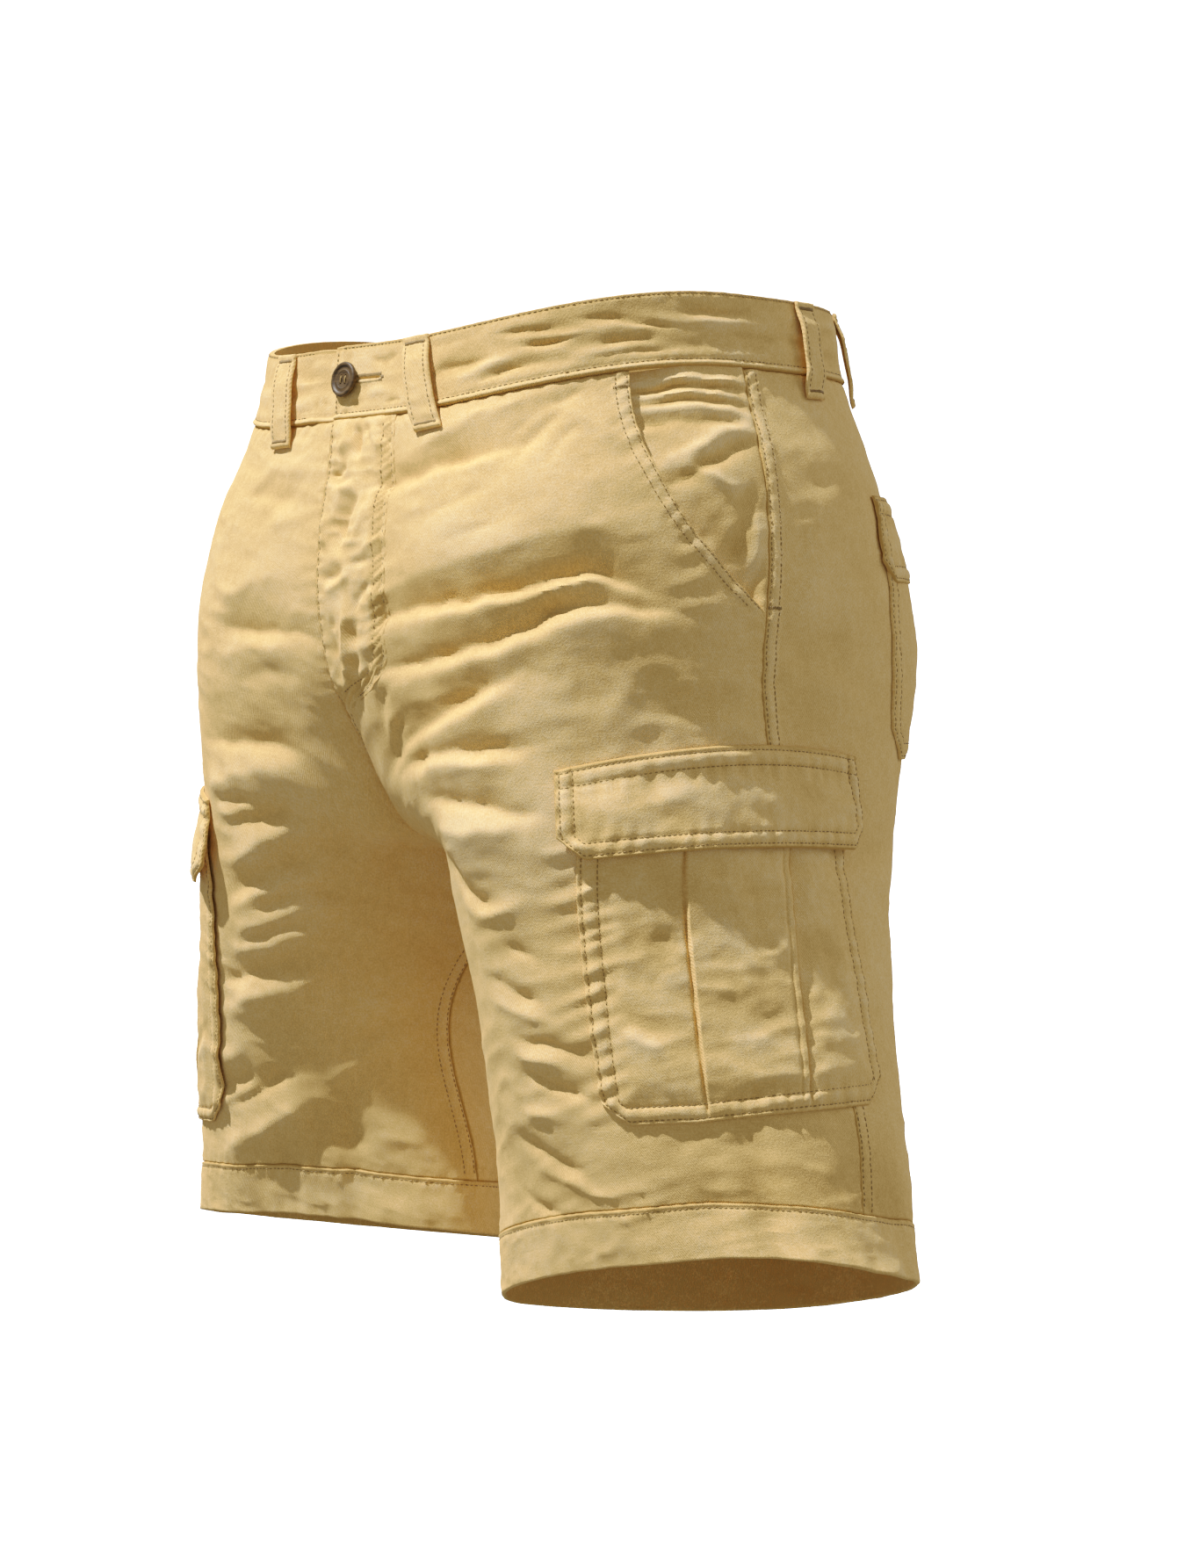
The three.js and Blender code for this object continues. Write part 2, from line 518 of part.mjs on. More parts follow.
// Button: a dished disc with a raised rim and four holes, facing out from the waistband's lap
const BUTTON = { across: 5, drop: -20, radius: 9, thickness: 2.8, rim: 1.7, dish: 0.8, hole: 0.8, spacing: 1.7 };
const BUTTON_OFF_BAND = 1.1;
function merged(geometry) {
  geometry.deleteAttribute('normal');
  geometry.deleteAttribute('uv');
  return mergeVertices(geometry, 1e-4);
}
function solid(wasm, geometry) {
  const closed = merged(geometry);
  return new wasm.Manifold(new wasm.Mesh({
    numProp: 3,
    vertProperties: new Float32Array(closed.attributes.position.array),
    triVerts: new Uint32Array(closed.index.array),
  }));
}
function buttonGeometry(wasm) {
  const { radius, thickness, rim, dish, hole, spacing } = BUTTON;
  const profile = [
    [0, 0], [radius - 1, 0], [radius, 0.9], [radius, thickness - 0.5], [radius - 0.6, thickness],
    [radius - rim, thickness], [radius - rim - 0.8, thickness - dish], [0, thickness - dish],
  ].map(([r, z]) => new THREE.Vector2(r, z));
  let button = solid(wasm, new THREE.LatheGeometry(profile, 24).rotateX(Math.PI / 2));
  for (const [x, y] of [[1, 1], [1, -1], [-1, 1], [-1, -1]]) {
    const drill = new THREE.CylinderGeometry(hole, hole, 3 * thickness, 8).rotateX(Math.PI / 2);
    button = button.subtract(solid(wasm, drill.translate(x * spacing, y * spacing, 0)));
  }
  const result = button.getMesh();
  const geometry = new THREE.BufferGeometry();
  geometry.setAttribute('position', new THREE.Float32BufferAttribute(result.vertProperties, 3));
  geometry.setIndex([...result.triVerts]);
  return geometry;
}
const wasm = await Module();
wasm.setup();
const buttonAcross = frontCentre(1, BUTTON.drop) + BUTTON.across;
const onBand = (across, drop) => cloth(1, buttonAcross + across, BUTTON.drop + drop, BAND_PROUD);
const bandRound = onBand(BUTTON.radius, 0).sub(onBand(-BUTTON.radius, 0));
const bandDown = onBand(0, BUTTON.radius).sub(onBand(0, -BUTTON.radius));
const buttonFacing = bandDown.cross(bandRound).normalize();
add('button', buttonGeometry(wasm), HORN);
const button = shorts.getObjectByName('button');
button.position.copy(onBand(0, 0)).addScaledVector(buttonFacing, BUTTON_OFF_BAND);
button.quaternion.setFromUnitVectors(new THREE.Vector3(0, 0, 1), buttonFacing);

export default shorts;
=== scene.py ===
"""Cargo shorts in washed tan cotton twill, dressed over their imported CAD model."""
import functools
import math

import bmesh
import bpy
import numpy as np
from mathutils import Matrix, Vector


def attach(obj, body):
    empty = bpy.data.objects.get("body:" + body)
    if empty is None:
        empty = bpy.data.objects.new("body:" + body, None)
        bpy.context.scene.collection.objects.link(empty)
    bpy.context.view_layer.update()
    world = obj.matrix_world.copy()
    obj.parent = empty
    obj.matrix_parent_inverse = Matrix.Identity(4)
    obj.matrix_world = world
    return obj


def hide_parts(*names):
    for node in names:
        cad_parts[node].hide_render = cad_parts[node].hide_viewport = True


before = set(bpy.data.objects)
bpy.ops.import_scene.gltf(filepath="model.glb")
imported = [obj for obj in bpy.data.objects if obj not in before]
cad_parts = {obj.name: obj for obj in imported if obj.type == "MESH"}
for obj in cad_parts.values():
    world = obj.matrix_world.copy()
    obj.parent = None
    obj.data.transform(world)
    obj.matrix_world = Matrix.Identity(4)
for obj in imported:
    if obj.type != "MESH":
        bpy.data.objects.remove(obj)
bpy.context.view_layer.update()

bl_info = {
    "name": "Cargo shorts",
    "version": (1, 0, 0),
    "blender": (4, 5, 0),
    "location": "View3D > Sidebar > Shorts",
    "description": "Cotton twill cargo shorts, filled out as worn with nobody in them",
    "category": "Add Mesh",
}

# Lengths are in millimetres until a mesh is made: +X is the wearer's left, -Y the front and +Z up.
# A place on the cloth is (side, across, drop), as in the part's source: side is 1 on the wearer's left
# and -1 on the right, across is the length round from the side line, minus towards the front, and drop
# is the length down from the waist seam.
BAND_HEIGHT = 38.0
CROTCH_DROP = 241.0
HEM_SEAM_DROP = 430.0
HEM_DROP = 460.0
PANEL_WALL = 1.6
BAND_WALL = 2.5
HEM_WALL = 2.7
BAND_PROUD = 0.6
BAND_ROWS = (1.5, 3.4)            # the stitch rows, from the band's top and bottom edges
HEM_ROW = 2.6                     # the stitch row below the hem's seam
OPEN_ROW = 1.9                    # the stitch row beside the fly's open edge
ROWS = {                          # both stitch rows of other seams, from the edge
    "seam": (1.8, 7.8), "fly": (2.2, 8.6), "cargo": (2.2, 9.6), "seat_pocket": (2.0, 8.4),
    "flap_top": (2.4, 9.8), "flap_rim": (2.2, 8.2),
}
SEAM_STEP = 0.8                   # between the points of a line that is stitched
STITCH_LIFT = 0.12                # a stitch's middle over the cloth
SIDE_GAP = 0.02
ROUND_GAP = 0.04
LAID_ON = 0.95
SIDES = ((1, "left"), (-1, "right"))

# The form: half the garment at each drop, before the legs are posed
COLUMNS = ("drop", "side_x", "side_y", "front_x", "front_y", "back_x", "back_y", "inner_x",
           "inner_front_y", "inner_back_y", "front_rise", "back_rise", "inner_front_rise", "inner_back_rise")
SECTIONS = (
    (-38, 141, 12, 40, -123, 40, 138, 0, -126, 137, -24, 3, -24, 3),
    (0, 149, 9, 45, -129, 45, 142, 0, -132, 141, -24, 3, -24, 3),
    (57, 171, 3, 60, -141, 55, 154, 0, -140, 149, -16, 3, -16, 3),
    (115, 182, -3, 75, -144, 70, 165, 0, -141, 150, -9, 3, -9, 3),
    (172, 185, -4, 85, -138, 85, 156, 0, -117, 118, -3, 2, -8, 6),
    (215, 187, -3, 95, -131, 95, 141, 0, -60, 70, 0, 1, -23, 6),
    (241, 191, -3, 100, -126, 100, 132, 0, 8, 8, 0, 0, 0, 0),
    (325, 215, 0, 114, -108, 114, 115, 32, -28, -28, 0, 0, 0, 0),
    (428, 253, 3, 132, -82, 132, 97, 22, -16, -16, 0, 0, 0, 0),
    (460, 265, 4, 136, -73, 136, 90, 19, -16, -16, 0, 0, 0, 0),
)
INNER_COLUMNS = ("inner_x", "inner_front_y", "inner_back_y", "inner_front_rise", "inner_back_rise")
CROTCH_ROW = 6
# Quarters of the form round from the inner front: squareness, whether x follows the sine or the cosine, and
# what x, y and the rise go between
QUARTERS = (
    (1.7, "cosine", "front_x", "inner_x", "inner_front_y", "front_y", "inner_front_rise", "front_rise"),
    (2.2, "sine", "front_x", "side_x", "side_y", "front_y", "front_rise", "level"),
    (2.15, "cosine", "back_x", "side_x", "side_y", "back_y", "level", "back_rise"),
    (1.7, "sine", "back_x", "inner_x", "inner_back_y", "back_y", "back_rise", "inner_back_rise"),
)
POSE = {
    1: {"spread": -8, "swing": -7, "front_up": 17, "out_up": 25},
    -1: {"spread": 13, "swing": 1, "front_up": 14, "out_up": -7},
}
TURNED_LEG = {
    "drop": (0, 90, 190, 300, 400, 428, 460),
    "turn": (0, -6, -33, -30, -12, -6, 0),
    "slide": (0, 2, 17, 18, 15, 4, 0),
}

# Seam lines and outlines
SIDE_SEAM = {"drop": (0, 91, 150, 241, 330, 395, 460), "across": (0, 0, -6, 0, 12, 14, 3)}
POCKET_MOUTH = {"drop": (0, 20, 40, 60, 80, 100, 115, 124), "across": (-67, -69, -67, -60, -48, -29, -12, 0)}
MOUTH_END = 124.0
FLY = {
    "drop": (0, 20, 64, 124, 142, 154, 163),
    "edge": (-2.5, 0.4, 0.4, 0.4, 0.4, 0.4, 0.4),
    "width": (47, 50, 55, 56, 53, 41, 16),
}
FLY_END = 163.0
CARGO = {
    "top": 214, "left": -108, "right": 47, "bottom": 386, "cut": 13, "margin": 10, "left_lean": -0.075,
    "right_lean": -0.03, "fold_a": -58.5, "fold_a_lean": -0.06, "fold_b": 4, "fold_b_lean": -0.12,
}
CARGO_FLAP = {
    "left": -118, "right": 60, "top": 187.5, "top_bow": 0.0011, "bottom": 238.5, "bottom_bow": 0.0005,
    "bow_at": -15, "cut": 12, "stands": (0.95, 1.6, 3.95, 4.8, 5.3), "on_leg": True,
}
BACK_FLAP = {
    "left": 97, "right": 233, "top": 61, "top_bow": 0, "bottom": 106, "bottom_bow": 0,
    "bow_at": 165, "cut": 12, "stands": (0.95, 1.1, 1.5, 1.7, 1.7), "on_leg": False,
}
BACK_POCKET = {"left": 104, "right": 226, "top": 84, "bottom": 196, "cut": 16, "fullness": 1.2}
LOOP = {"width": 17, "wall": 1.5, "top": -37.5, "bottom": 13}
LOOP_LENGTH = 50.5
LOOP_STANDS = {"part": (0, 0.1, 0.25, 0.5, 0.75, 0.92, 1), "lift": (1.3, 1.6, 3.5, 4.1, 3.7, 1.5, 1.1)}
LOOP_PLACES = (
    {"side": 1, "top": -177, "bottom": -172},
    {"side": -1, "top": -178, "bottom": -200},
    {"side": 1, "top": 52, "bottom": 54},
    {"side": -1, "top": 52, "bottom": 54},
    {"side": 1, "top": 118, "bottom": 122},
    {"side": -1, "top": 118, "bottom": 122},
    {"side": 1, "top": None, "bottom": None},
)
LAP_TOP = 10.0
LAP_BOTTOM = 3.0
UNDERLAP = 30.0
LAP_DIP = 3.3
BUTTON = {"across": 5, "drop": -20, "radius": 9, "thickness": 2.8, "rim": 1.7, "dish": 0.8, "hole": 0.8,
          "spacing": 1.7, "off_band": 1.1}

# Creases, given one by one. The columns are the height (minus for a trough), the width above the line, the
# width below it, and the line's places as (across, drop). A dark band lies above a trough's line and a bright
# one below it.
LEFT_CREASES = (
    # Left front, from the waist down to the crotch
    (2.2, 7, 6, (-207, 28), (-182, 22), (-160, 14), (-138, 8), (-112, 4)),
    (-4.6, 10, 5, (-246, 46), (-208, 40), (-182, 35), (-160, 32), (-138, 30), (-116, 26), (-100, 18)),
    (1.6, 3, 5, (-200, 45), (-172, 38), (-145, 36), (-120, 32)),
    (-1.5, 4, 2, (-136, 24), (-122, 18), (-104, 10), (-88, 6)),
    (-1.3, 3, 2, (-134, 44), (-126, 32), (-112, 20), (-96, 12)),
    (-1.1, 3, 2, (-118, 42), (-106, 30), (-96, 22)),
    (0.9, 5, 5, (-110, 14), (-94, 20), (-84, 31), (-80, 44)),
    (-0.9, 4, 3, (-190, 66), (-168, 58), (-140, 50)),
    (-0.8, 4, 3, (-180, 82), (-160, 74), (-138, 70)),
    (1.6, 20, 14, (-190, 72), (-150, 70), (-112, 72), (-84, 78)),
    (2.4, 15, 7, (-215, 95), (-180, 91), (-145, 84), (-112, 78), (-82, 82), (-52, 94)),
    (-6.0, 10, 3.6, (-250, 118), (-216, 115), (-184, 111), (-153, 109), (-124, 105), (-105, 100),
     (-97, 100), (-84, 107), (-66, 114), (-46, 119)),
    (3.0, 3.5, 6, (-206, 119), (-168, 114), (-130, 110), (-103, 105), (-86, 111), (-68, 118)),
    (-5.8, 10, 3.8, (-256, 148), (-222, 145), (-192, 142), (-166, 137), (-140, 131), (-117, 121),
     (-101, 117), (-80, 119), (-52, 124), (-34, 131)),
    (2.6, 5, 10, (-200, 150), (-166, 142), (-138, 136), (-112, 127), (-80, 124), (-50, 129)),
    (-5.2, 12, 4, (-258, 196), (-226, 186), (-200, 178), (-174, 168), (-150, 157), (-134, 149), (-116, 145)),
    (2.4, 5, 9, (-208, 186), (-178, 175), (-152, 163), (-132, 154)),
    (-4.0, 7, 4, (-254, 200), (-220, 194), (-184, 190), (-156, 189), (-128, 187), (-110, 184)),
    (2.4, 4, 8, (-214, 200), (-184, 196), (-152, 194), (-122, 194)),
    (-4.2, 8, 4, (-210, 211), (-185, 213), (-158, 216), (-130, 221), (-114, 222)),
    (2.4, 5, 8, (-205, 224), (-178, 228), (-150, 228), (-128, 222)),
    (5.5, 56, 22, (-220, 236), (-160, 236), (-110, 238), (-50, 240), (14, 240)),
    (-8.0, 46, 70, (-124, 440), (-80, 438), (-30, 436), (20, 434), (90, 430)),
    (-2.5, 36, 28, (-236, 424), (-200, 424), (-160, 426), (-120, 428)),
    (0.9, 5, 4, (-70, 160), (-40, 158), (-8, 153)),
    (-1.0, 8, 5, (-75, 176), (-45, 170), (-20, 160)),
    (0.8, 6, 4, (-60, 182), (-30, 178), (-8, 180)),
    # By the fly
    (-3.0, 3, 3, (-224, 1), (-225, 10), (-227, 20), (-231, 27)),
    (2.1, 3, 4, (-232, 2), (-234, 14), (-239, 24)),
    (-2.1, 2.5, 2, (-254, 33), (-244, 32), (-236, 27)),
    (-2.2, 4, 2.4, (-254, 39), (-244, 37), (-232, 36)),
    (1.4, 3, 3, (-250, 43), (-240, 42), (-230, 41)),
    (-1.4, 2, 2, (-216, 1), (-217, 10), (-214, 18)),
    (1.2, 3, 3, (-211, 2), (-212, 13), (-208, 24)),
    (-1.2, 2, 2, (-206, 2), (-205, 12), (-200, 18)),
    (-4.0, 3, 6, (-229, 44), (-238, 52), (-247, 62), (-251, 72), (-250, 84)),
    (2.0, 4, 4, (-220, 50), (-230, 60), (-238, 72), (-241, 84)),
    (1.7, 3, 3, (-258, 52), (-262, 66), (-264, 80)),
    (-2.5, 4, 3, (-269, 95), (-257, 92), (-247, 86)),
    (1.6, 3, 3, (-268, 101), (-258, 98), (-248, 94), (-240, 88)),
    (-1.7, 3, 2, (-243, 87), (-234, 86), (-224, 82)),
    (1.3, 3, 3, (-232, 79), (-222, 74), (-212, 68)),
    (-2.1, 3, 3, (-245, 116), (-240, 107), (-231, 100), (-219, 94)),
    (1.4, 3, 3, (-232, 110), (-224, 104), (-212, 99)),
    (-1.7, 3, 2.4, (-231, 126), (-222, 118), (-210, 114)),
    (-3.2, 4, 4, (-240, 106), (-243, 124), (-246, 142), (-249, 156), (-249, 170)),
    (2.5, 3, 3, (-247, 100), (-250, 122), (-253, 140), (-257, 158)),
    (-2.0, 3, 3, (-259, 110), (-262, 124), (-260, 141), (-257, 154)),
    (-2.0, 3, 3, (-229, 132), (-236, 142), (-241, 156)),
    (1.4, 3, 3, (-224, 136), (-230, 146), (-233, 160)),
    (-1.7, 3, 3, (-221, 150), (-228, 160), (-234, 174)),
    (1.2, 3, 3, (-219, 166), (-226, 174), (-234, 184)),
    (-1.6, 3, 3, (-214, 168), (-224, 180), (-234, 190)),
    # Left leg, in front
    (-2.8, 4.3, 3.7, (-200, 238), (-188, 248), (-174, 262), (-164, 266), (-160, 256)),
    (2.2, 4.3, 4.3, (-187, 262), (-172, 272), (-150, 270), (-132, 262)),
    (-1.7, 3.7, 3.1, (-158, 286), (-146, 293), (-138, 298)),
    (-1.8, 3.1, 3.1, (-178, 300), (-164, 308), (-150, 317), (-138, 320)),
    (1.6, 3.7, 3.7, (-184, 312), (-166, 320), (-146, 327), (-130, 328)),
    (-1.9, 3.7, 3.1, (-172, 334), (-150, 340), (-128, 345), (-114, 350)),
    (2.2, 3.7, 3.7, (-172, 343), (-150, 349), (-132, 355)),
    (-2.0, 3.1, 3.1, (-170, 352), (-154, 360), (-136, 366), (-120, 374)),
    (1.4, 3.7, 3.7, (-178, 372), (-160, 376), (-144, 384)),
    (-2.2, 4.3, 3.7, (-194, 380), (-178, 392), (-158, 404), (-138, 414)),
    (1.8, 3.7, 3.1, (-184, 402), (-160, 412), (-138, 421), (-120, 424)),
    (-1.7, 3.1, 2.5, (-208, 408), (-192, 420), (-174, 428), (-160, 430)),
    (-1.0, 5.0, 4.3, (-100, 400), (-70, 396), (-40, 400)),
    (0.9, 5.0, 5.0, (-60, 412), (-30, 408), (0, 412)),
    # Left, behind the side seam
    (0.9, 3, 3, (24, 98), (32, 88), (40, 80)),
    (1.3, 7, 9, (4, 128), (24, 116), (42, 100), (58, 88)),
    (-1.2, 8, 6, (6, 150), (30, 142), (60, 130)),
    (-1.3, 10, 8, (20, 60), (50, 52), (84, 58)),
    (1.0, 8, 8, (10, 168), (40, 160), (80, 168)),
    (-1.8, 7, 6, (18, 250), (60, 244), (110, 236)),
    (1.6, 8, 9, (60, 258), (110, 256), (150, 250)),
    (-2.4, 10, 7, (240, 214), (200, 222), (160, 216), (128, 206)),
    (2.0, 8, 9, (250, 226), (205, 236), (165, 232), (130, 222)),
    (-2.2, 8, 7, (238, 246), (200, 252), (150, 246)),
    (1.5, 7, 8, (228, 268), (190, 274), (150, 266), (110, 272)),
    (-2.0, 9, 7, (232, 316), (190, 306), (140, 298), (96, 306)),
    (1.6, 8, 8, (228, 332), (186, 322), (140, 316)),
    (-1.8, 7, 7, (206, 362), (160, 354), (110, 362)),
    (1.4, 8, 8, (210, 380), (150, 376), (90, 384)),
    (-1.5, 8, 6, (190, 408), (130, 400), (70, 410)),
    (-1.6, 9, 7, (262, 60), (240, 44), (214, 36), (180, 34)),
    (1.2, 8, 8, (190, 22), (150, 26), (110, 22)),
    (-1.2, 8, 7, (240, 140), (236, 170), (224, 200)),
)
RIGHT_CREASES = (
    # Right front and leg
    (1.8, 8, 7, (-238, 30), (-215, 26), (-190, 22)),
    (-2.4, 9, 8, (-240, 46), (-214, 42), (-186, 38)),
    (1.2, 6, 6, (-262, 52), (-240, 56), (-214, 58)),
    (2.2, 14, 9, (-250, 84), (-226, 90), (-196, 100), (-176, 112)),
    (-2.4, 6, 4, (-284, 126), (-250, 122), (-215, 120), (-180, 116)),
    (2.0, 6, 10, (-256, 130), (-230, 130), (-204, 132), (-176, 134)),
    (-1.4, 6, 6, (-256, 148), (-232, 144), (-202, 148)),
    (-3.6, 10, 4, (-150, 182), (-190, 185), (-220, 184), (-250, 186)),
    (3.4, 8, 12, (-140, 216), (-172, 206), (-208, 197), (-248, 190)),
    (-2.0, 4, 3, (-155, 217), (-175, 216), (-196, 217)),
    (2.0, 3, 5, (-160, 224), (-180, 222), (-200, 220)),
    (-3.0, 7, 4, (-160, 232), (-192, 226), (-218, 219), (-234, 219)),
    (3.6, 7, 12, (-158, 256), (-186, 241), (-212, 231), (-238, 222)),
    (-2.6, 8, 4, (-158, 272), (-190, 258), (-214, 249), (-232, 249)),
    (2.8, 5, 8, (-156, 282), (-188, 267), (-212, 258), (-236, 253)),
    (-2.4, 6, 4, (-176, 280), (-200, 270), (-222, 265), (-240, 271)),
    (2.2, 6, 5, (-160, 292), (-190, 284), (-214, 276), (-240, 274)),
    (-1.8, 4, 3, (-166, 296), (-190, 290), (-212, 284)),
    (3.2, 6, 13, (-150, 308), (-180, 300), (-206, 292), (-236, 281)),
    (-2.6, 8, 4, (-140, 322), (-170, 316), (-200, 310), (-224, 306)),
    (3.4, 7, 12, (-136, 340), (-166, 332), (-196, 323), (-234, 311)),
    (1.8, 12, 8, (-130, 372), (-150, 366), (-172, 352)),
    (-2.0, 5, 3, (-132, 384), (-150, 380), (-172, 374)),
    (2.2, 4, 6, (-130, 394), (-150, 389), (-178, 379)),
    (-2.8, 10, 4, (-130, 398), (-156, 390), (-184, 379), (-212, 370)),
    (3.6, 8, 12, (-124, 424), (-154, 415), (-184, 402), (-220, 381)),
    (1.8, 7, 7, (-210, 386), (-236, 364), (-262, 348), (-286, 338)),
    (-1.6, 8, 8, (-222, 352), (-250, 344), (-284, 330)),
    (1.3, 8, 7, (-226, 340), (-254, 330), (-286, 314)),
    (-1.3, 8, 8, (-226, 314), (-252, 304), (-282, 288)),
    (1.3, 9, 8, (-222, 300), (-248, 290), (-280, 274)),
    (-1.5, 7, 7, (-256, 262), (-266, 246), (-276, 226)),
    (1.2, 9, 8, (-232, 246), (-252, 236), (-274, 214)),
    (-1.5, 9, 7, (-250, 404), (-222, 412), (-190, 418)),
    (-5.0, 62, 52, (-140, 442), (-190, 440), (-230, 438), (-276, 436)),
    # Right, at the side and behind
    (-1.6, 9, 7, (20, 140), (60, 130), (96, 136)),
    (1.4, 9, 9, (16, 158), (58, 150), (90, 158)),
    (1.0, 8, 8, (14, 60), (50, 52), (88, 56)),
    (-1.6, 8, 7, (40, 236), (80, 230), (124, 240)),
    (1.5, 8, 8, (50, 254), (96, 250), (140, 258)),
    (-2.4, 10, 7, (244, 208), (204, 218), (164, 212), (126, 202)),
    (2.0, 8, 9, (250, 222), (210, 232), (168, 228), (132, 220)),
    (-2.1, 8, 7, (236, 244), (196, 248), (146, 240)),
    (1.6, 7, 8, (230, 264), (186, 268), (140, 262)),
    (-2.0, 9, 7, (226, 330), (186, 322), (140, 324), (90, 316)),
    (1.7, 8, 8, (230, 350), (180, 340), (130, 342)),
    (-1.8, 8, 7, (200, 376), (150, 366), (96, 372)),
    (1.3, 8, 8, (204, 396), (140, 388), (80, 394)),
    (-1.5, 9, 7, (258, 56), (236, 42), (206, 34), (170, 36)),
    (1.2, 8, 8, (186, 24), (146, 20), (104, 24)),
    (-1.2, 8, 7, (242, 136), (236, 168), (222, 196)),
)
CREASES = {1: LEFT_CREASES, -1: RIGHT_CREASES}

# The same on a cargo pocket, as (across from its left edge, down from its top)
POCKET_CREASES = (
    (0.9, 5, 4, (14, 120), (26, 128), (38, 132)),
    (-1.1, 5, 5, (12, 108), (26, 118), (42, 124)),
    (0.8, 6, 6, (34, 92), (44, 96), (52, 92)),
    (-0.8, 6, 6, (20, 66), (32, 74), (46, 72)),
    (0.7, 4, 4, (70, 152), (78, 148), (92, 147), (100, 148)),
    (-0.7, 4, 3, (68, 158), (80, 154), (98, 153)),
    (0.6, 8, 8, (62, 60), (74, 72), (92, 70)),
    (-0.6, 8, 9, (64, 96), (78, 104), (94, 98)),
    (0.7, 6, 6, (60, 124), (74, 130), (90, 124)),
    (-0.8, 9, 8, (118, 70), (130, 84), (142, 90)),
    (0.7, 8, 8, (116, 112), (128, 120), (140, 116)),
)

# The same on the waistband
LEFT_BAND_CREASES = (
    (-1.8, 4.2, 2.1, (-170, -17), (-152, -18), (-134, -21)),
    (1.2, 2.1, 2.8, (-158, -13), (-142, -14), (-124, -18)),
    (-1.2, 1.8, 1.4, (-136, -31), (-110, -27), (-86, -26)),
    (0.8, 1.4, 1.8, (-130, -27), (-106, -23), (-84, -22)),
    (-1.3, 1.7, 1.1, (-120, -21), (-108, -20), (-94, -20)),
    (-1.2, 1.8, 1.4, (-96, -30), (-74, -27), (-52, -21), (-30, -20)),
    (-0.9, 1.7, 1.4, (-88, -14), (-70, -15), (-46, -14)),
    (-1.0, 1.7, 1.3, (-146, -8), (-124, -11), (-104, -11)),
    (-0.7, 1.4, 1.4, (-90, -8), (-66, -9), (-40, -8)),
    (-0.9, 1.7, 1.4, (-40, -27), (-14, -26), (12, -29)),
    (0.7, 1.4, 2.1, (-36, -23), (-10, -22), (16, -24)),
    (-0.8, 1.7, 1.4, (-22, -14), (4, -16), (34, -14)),
    (-1.0, 1.7, 1.4, (66, -26), (84, -24), (104, -26)),
    (-0.8, 1.7, 1.4, (60, -14), (84, -12), (108, -15)),
    (-0.8, 1.7, 1.4, (140, -24), (180, -22), (214, -25)),
    (-0.7, 1.7, 1.4, (150, -13), (190, -15), (224, -12)),
    (-1.6, 1.4, 1.4, (-225, -11), (-226, -3)),
    (1.0, 2.1, 2.1, (-219, -12), (-208, -13), (-196, -13)),
    (-1.1, 2.1, 1.4, (-214, -29), (-200, -28), (-190, -31)),
    (-0.9, 1.4, 1.4, (-206, -6), (-196, -8), (-188, -7)),
)
RIGHT_BAND_CREASES = (
    (-1.1, 1.0, 1.0, (-222, -14), (-221, -3)),
    (-1.1, 1.0, 1.0, (-217, -16), (-216, -4)),
    (-0.9, 1.0, 1.0, (-212, -15), (-212, -3)),
    (-0.9, 1.0, 1.0, (-207, -13), (-206, -4)),
    (-0.9, 2.1, 1.4, (-218, -24), (-206, -23), (-192, -25)),
    (-0.8, 1.7, 1.4, (-150, -22), (-110, -24), (-70, -21)),
    (-0.8, 1.7, 1.4, (-130, -12), (-90, -10), (-40, -13)),
    (-0.9, 1.7, 1.4, (66, -24), (90, -26), (106, -23)),
    (-0.8, 1.7, 1.4, (140, -14), (180, -12), (220, -15)),
    (-0.7, 1.7, 1.4, (150, -26), (190, -24), (226, -27)),
)
BAND_CREASES = {1: LEFT_BAND_CREASES, -1: RIGHT_BAND_CREASES}
BUTTONHOLE = {"drop": -20.2, "start": 12, "end": 31, "slit": 0.5}


def smooth(t):
    """0 to 1, level at both ends."""
    t = np.clip(t, 0, 1)
    return t * t * (3 - 2 * t)


def lerp(a, b, t):
    """Between a and b."""
    return a + (b - a) * t


def bump(distance, width):
    """1 on a line, falling to nothing at about twice its width."""
    return np.exp(-((distance / width) ** 2))


def curve(x, xs, ys):
    """A smooth curve through (xs, ys), with each slope weighted between its neighbours."""
    x = np.asarray(x, float)
    xs = np.asarray(xs, float)
    ys = np.asarray(ys, float)
    step = np.diff(xs)
    slope = np.diff(ys) / step
    middle = (slope[1:] * step[:-1] + slope[:-1] * step[1:]) / (step[:-1] + step[1:])
    tangent = np.concatenate((slope[:1], middle, slope[-1:]))
    i = np.clip(np.searchsorted(xs, x, side="right") - 1, 0, len(step) - 1)
    h = step[i]
    t = (x - xs[i]) / h
    t2 = t * t
    t3 = t2 * t
    return ((2 * t3 - 3 * t2 + 1) * ys[i] + (t3 - 2 * t2 + t) * h * tangent[i]
            + (3 * t2 - 2 * t3) * ys[i + 1] + (t3 - t2) * h * tangent[i + 1])


def along(table, column, drop):
    """A column of a table of places by drop, level beyond its ends."""
    return curve(np.clip(drop, table["drop"][0], table["drop"][-1]), table["drop"], table[column])


def paired(a, b):
    """Two sets of numbers, brought to one shape."""
    return np.broadcast_arrays(np.asarray(a, float), np.asarray(b, float))


def chance(seed):
    """Random numbers that are the same in each run."""
    return np.random.default_rng(seed)


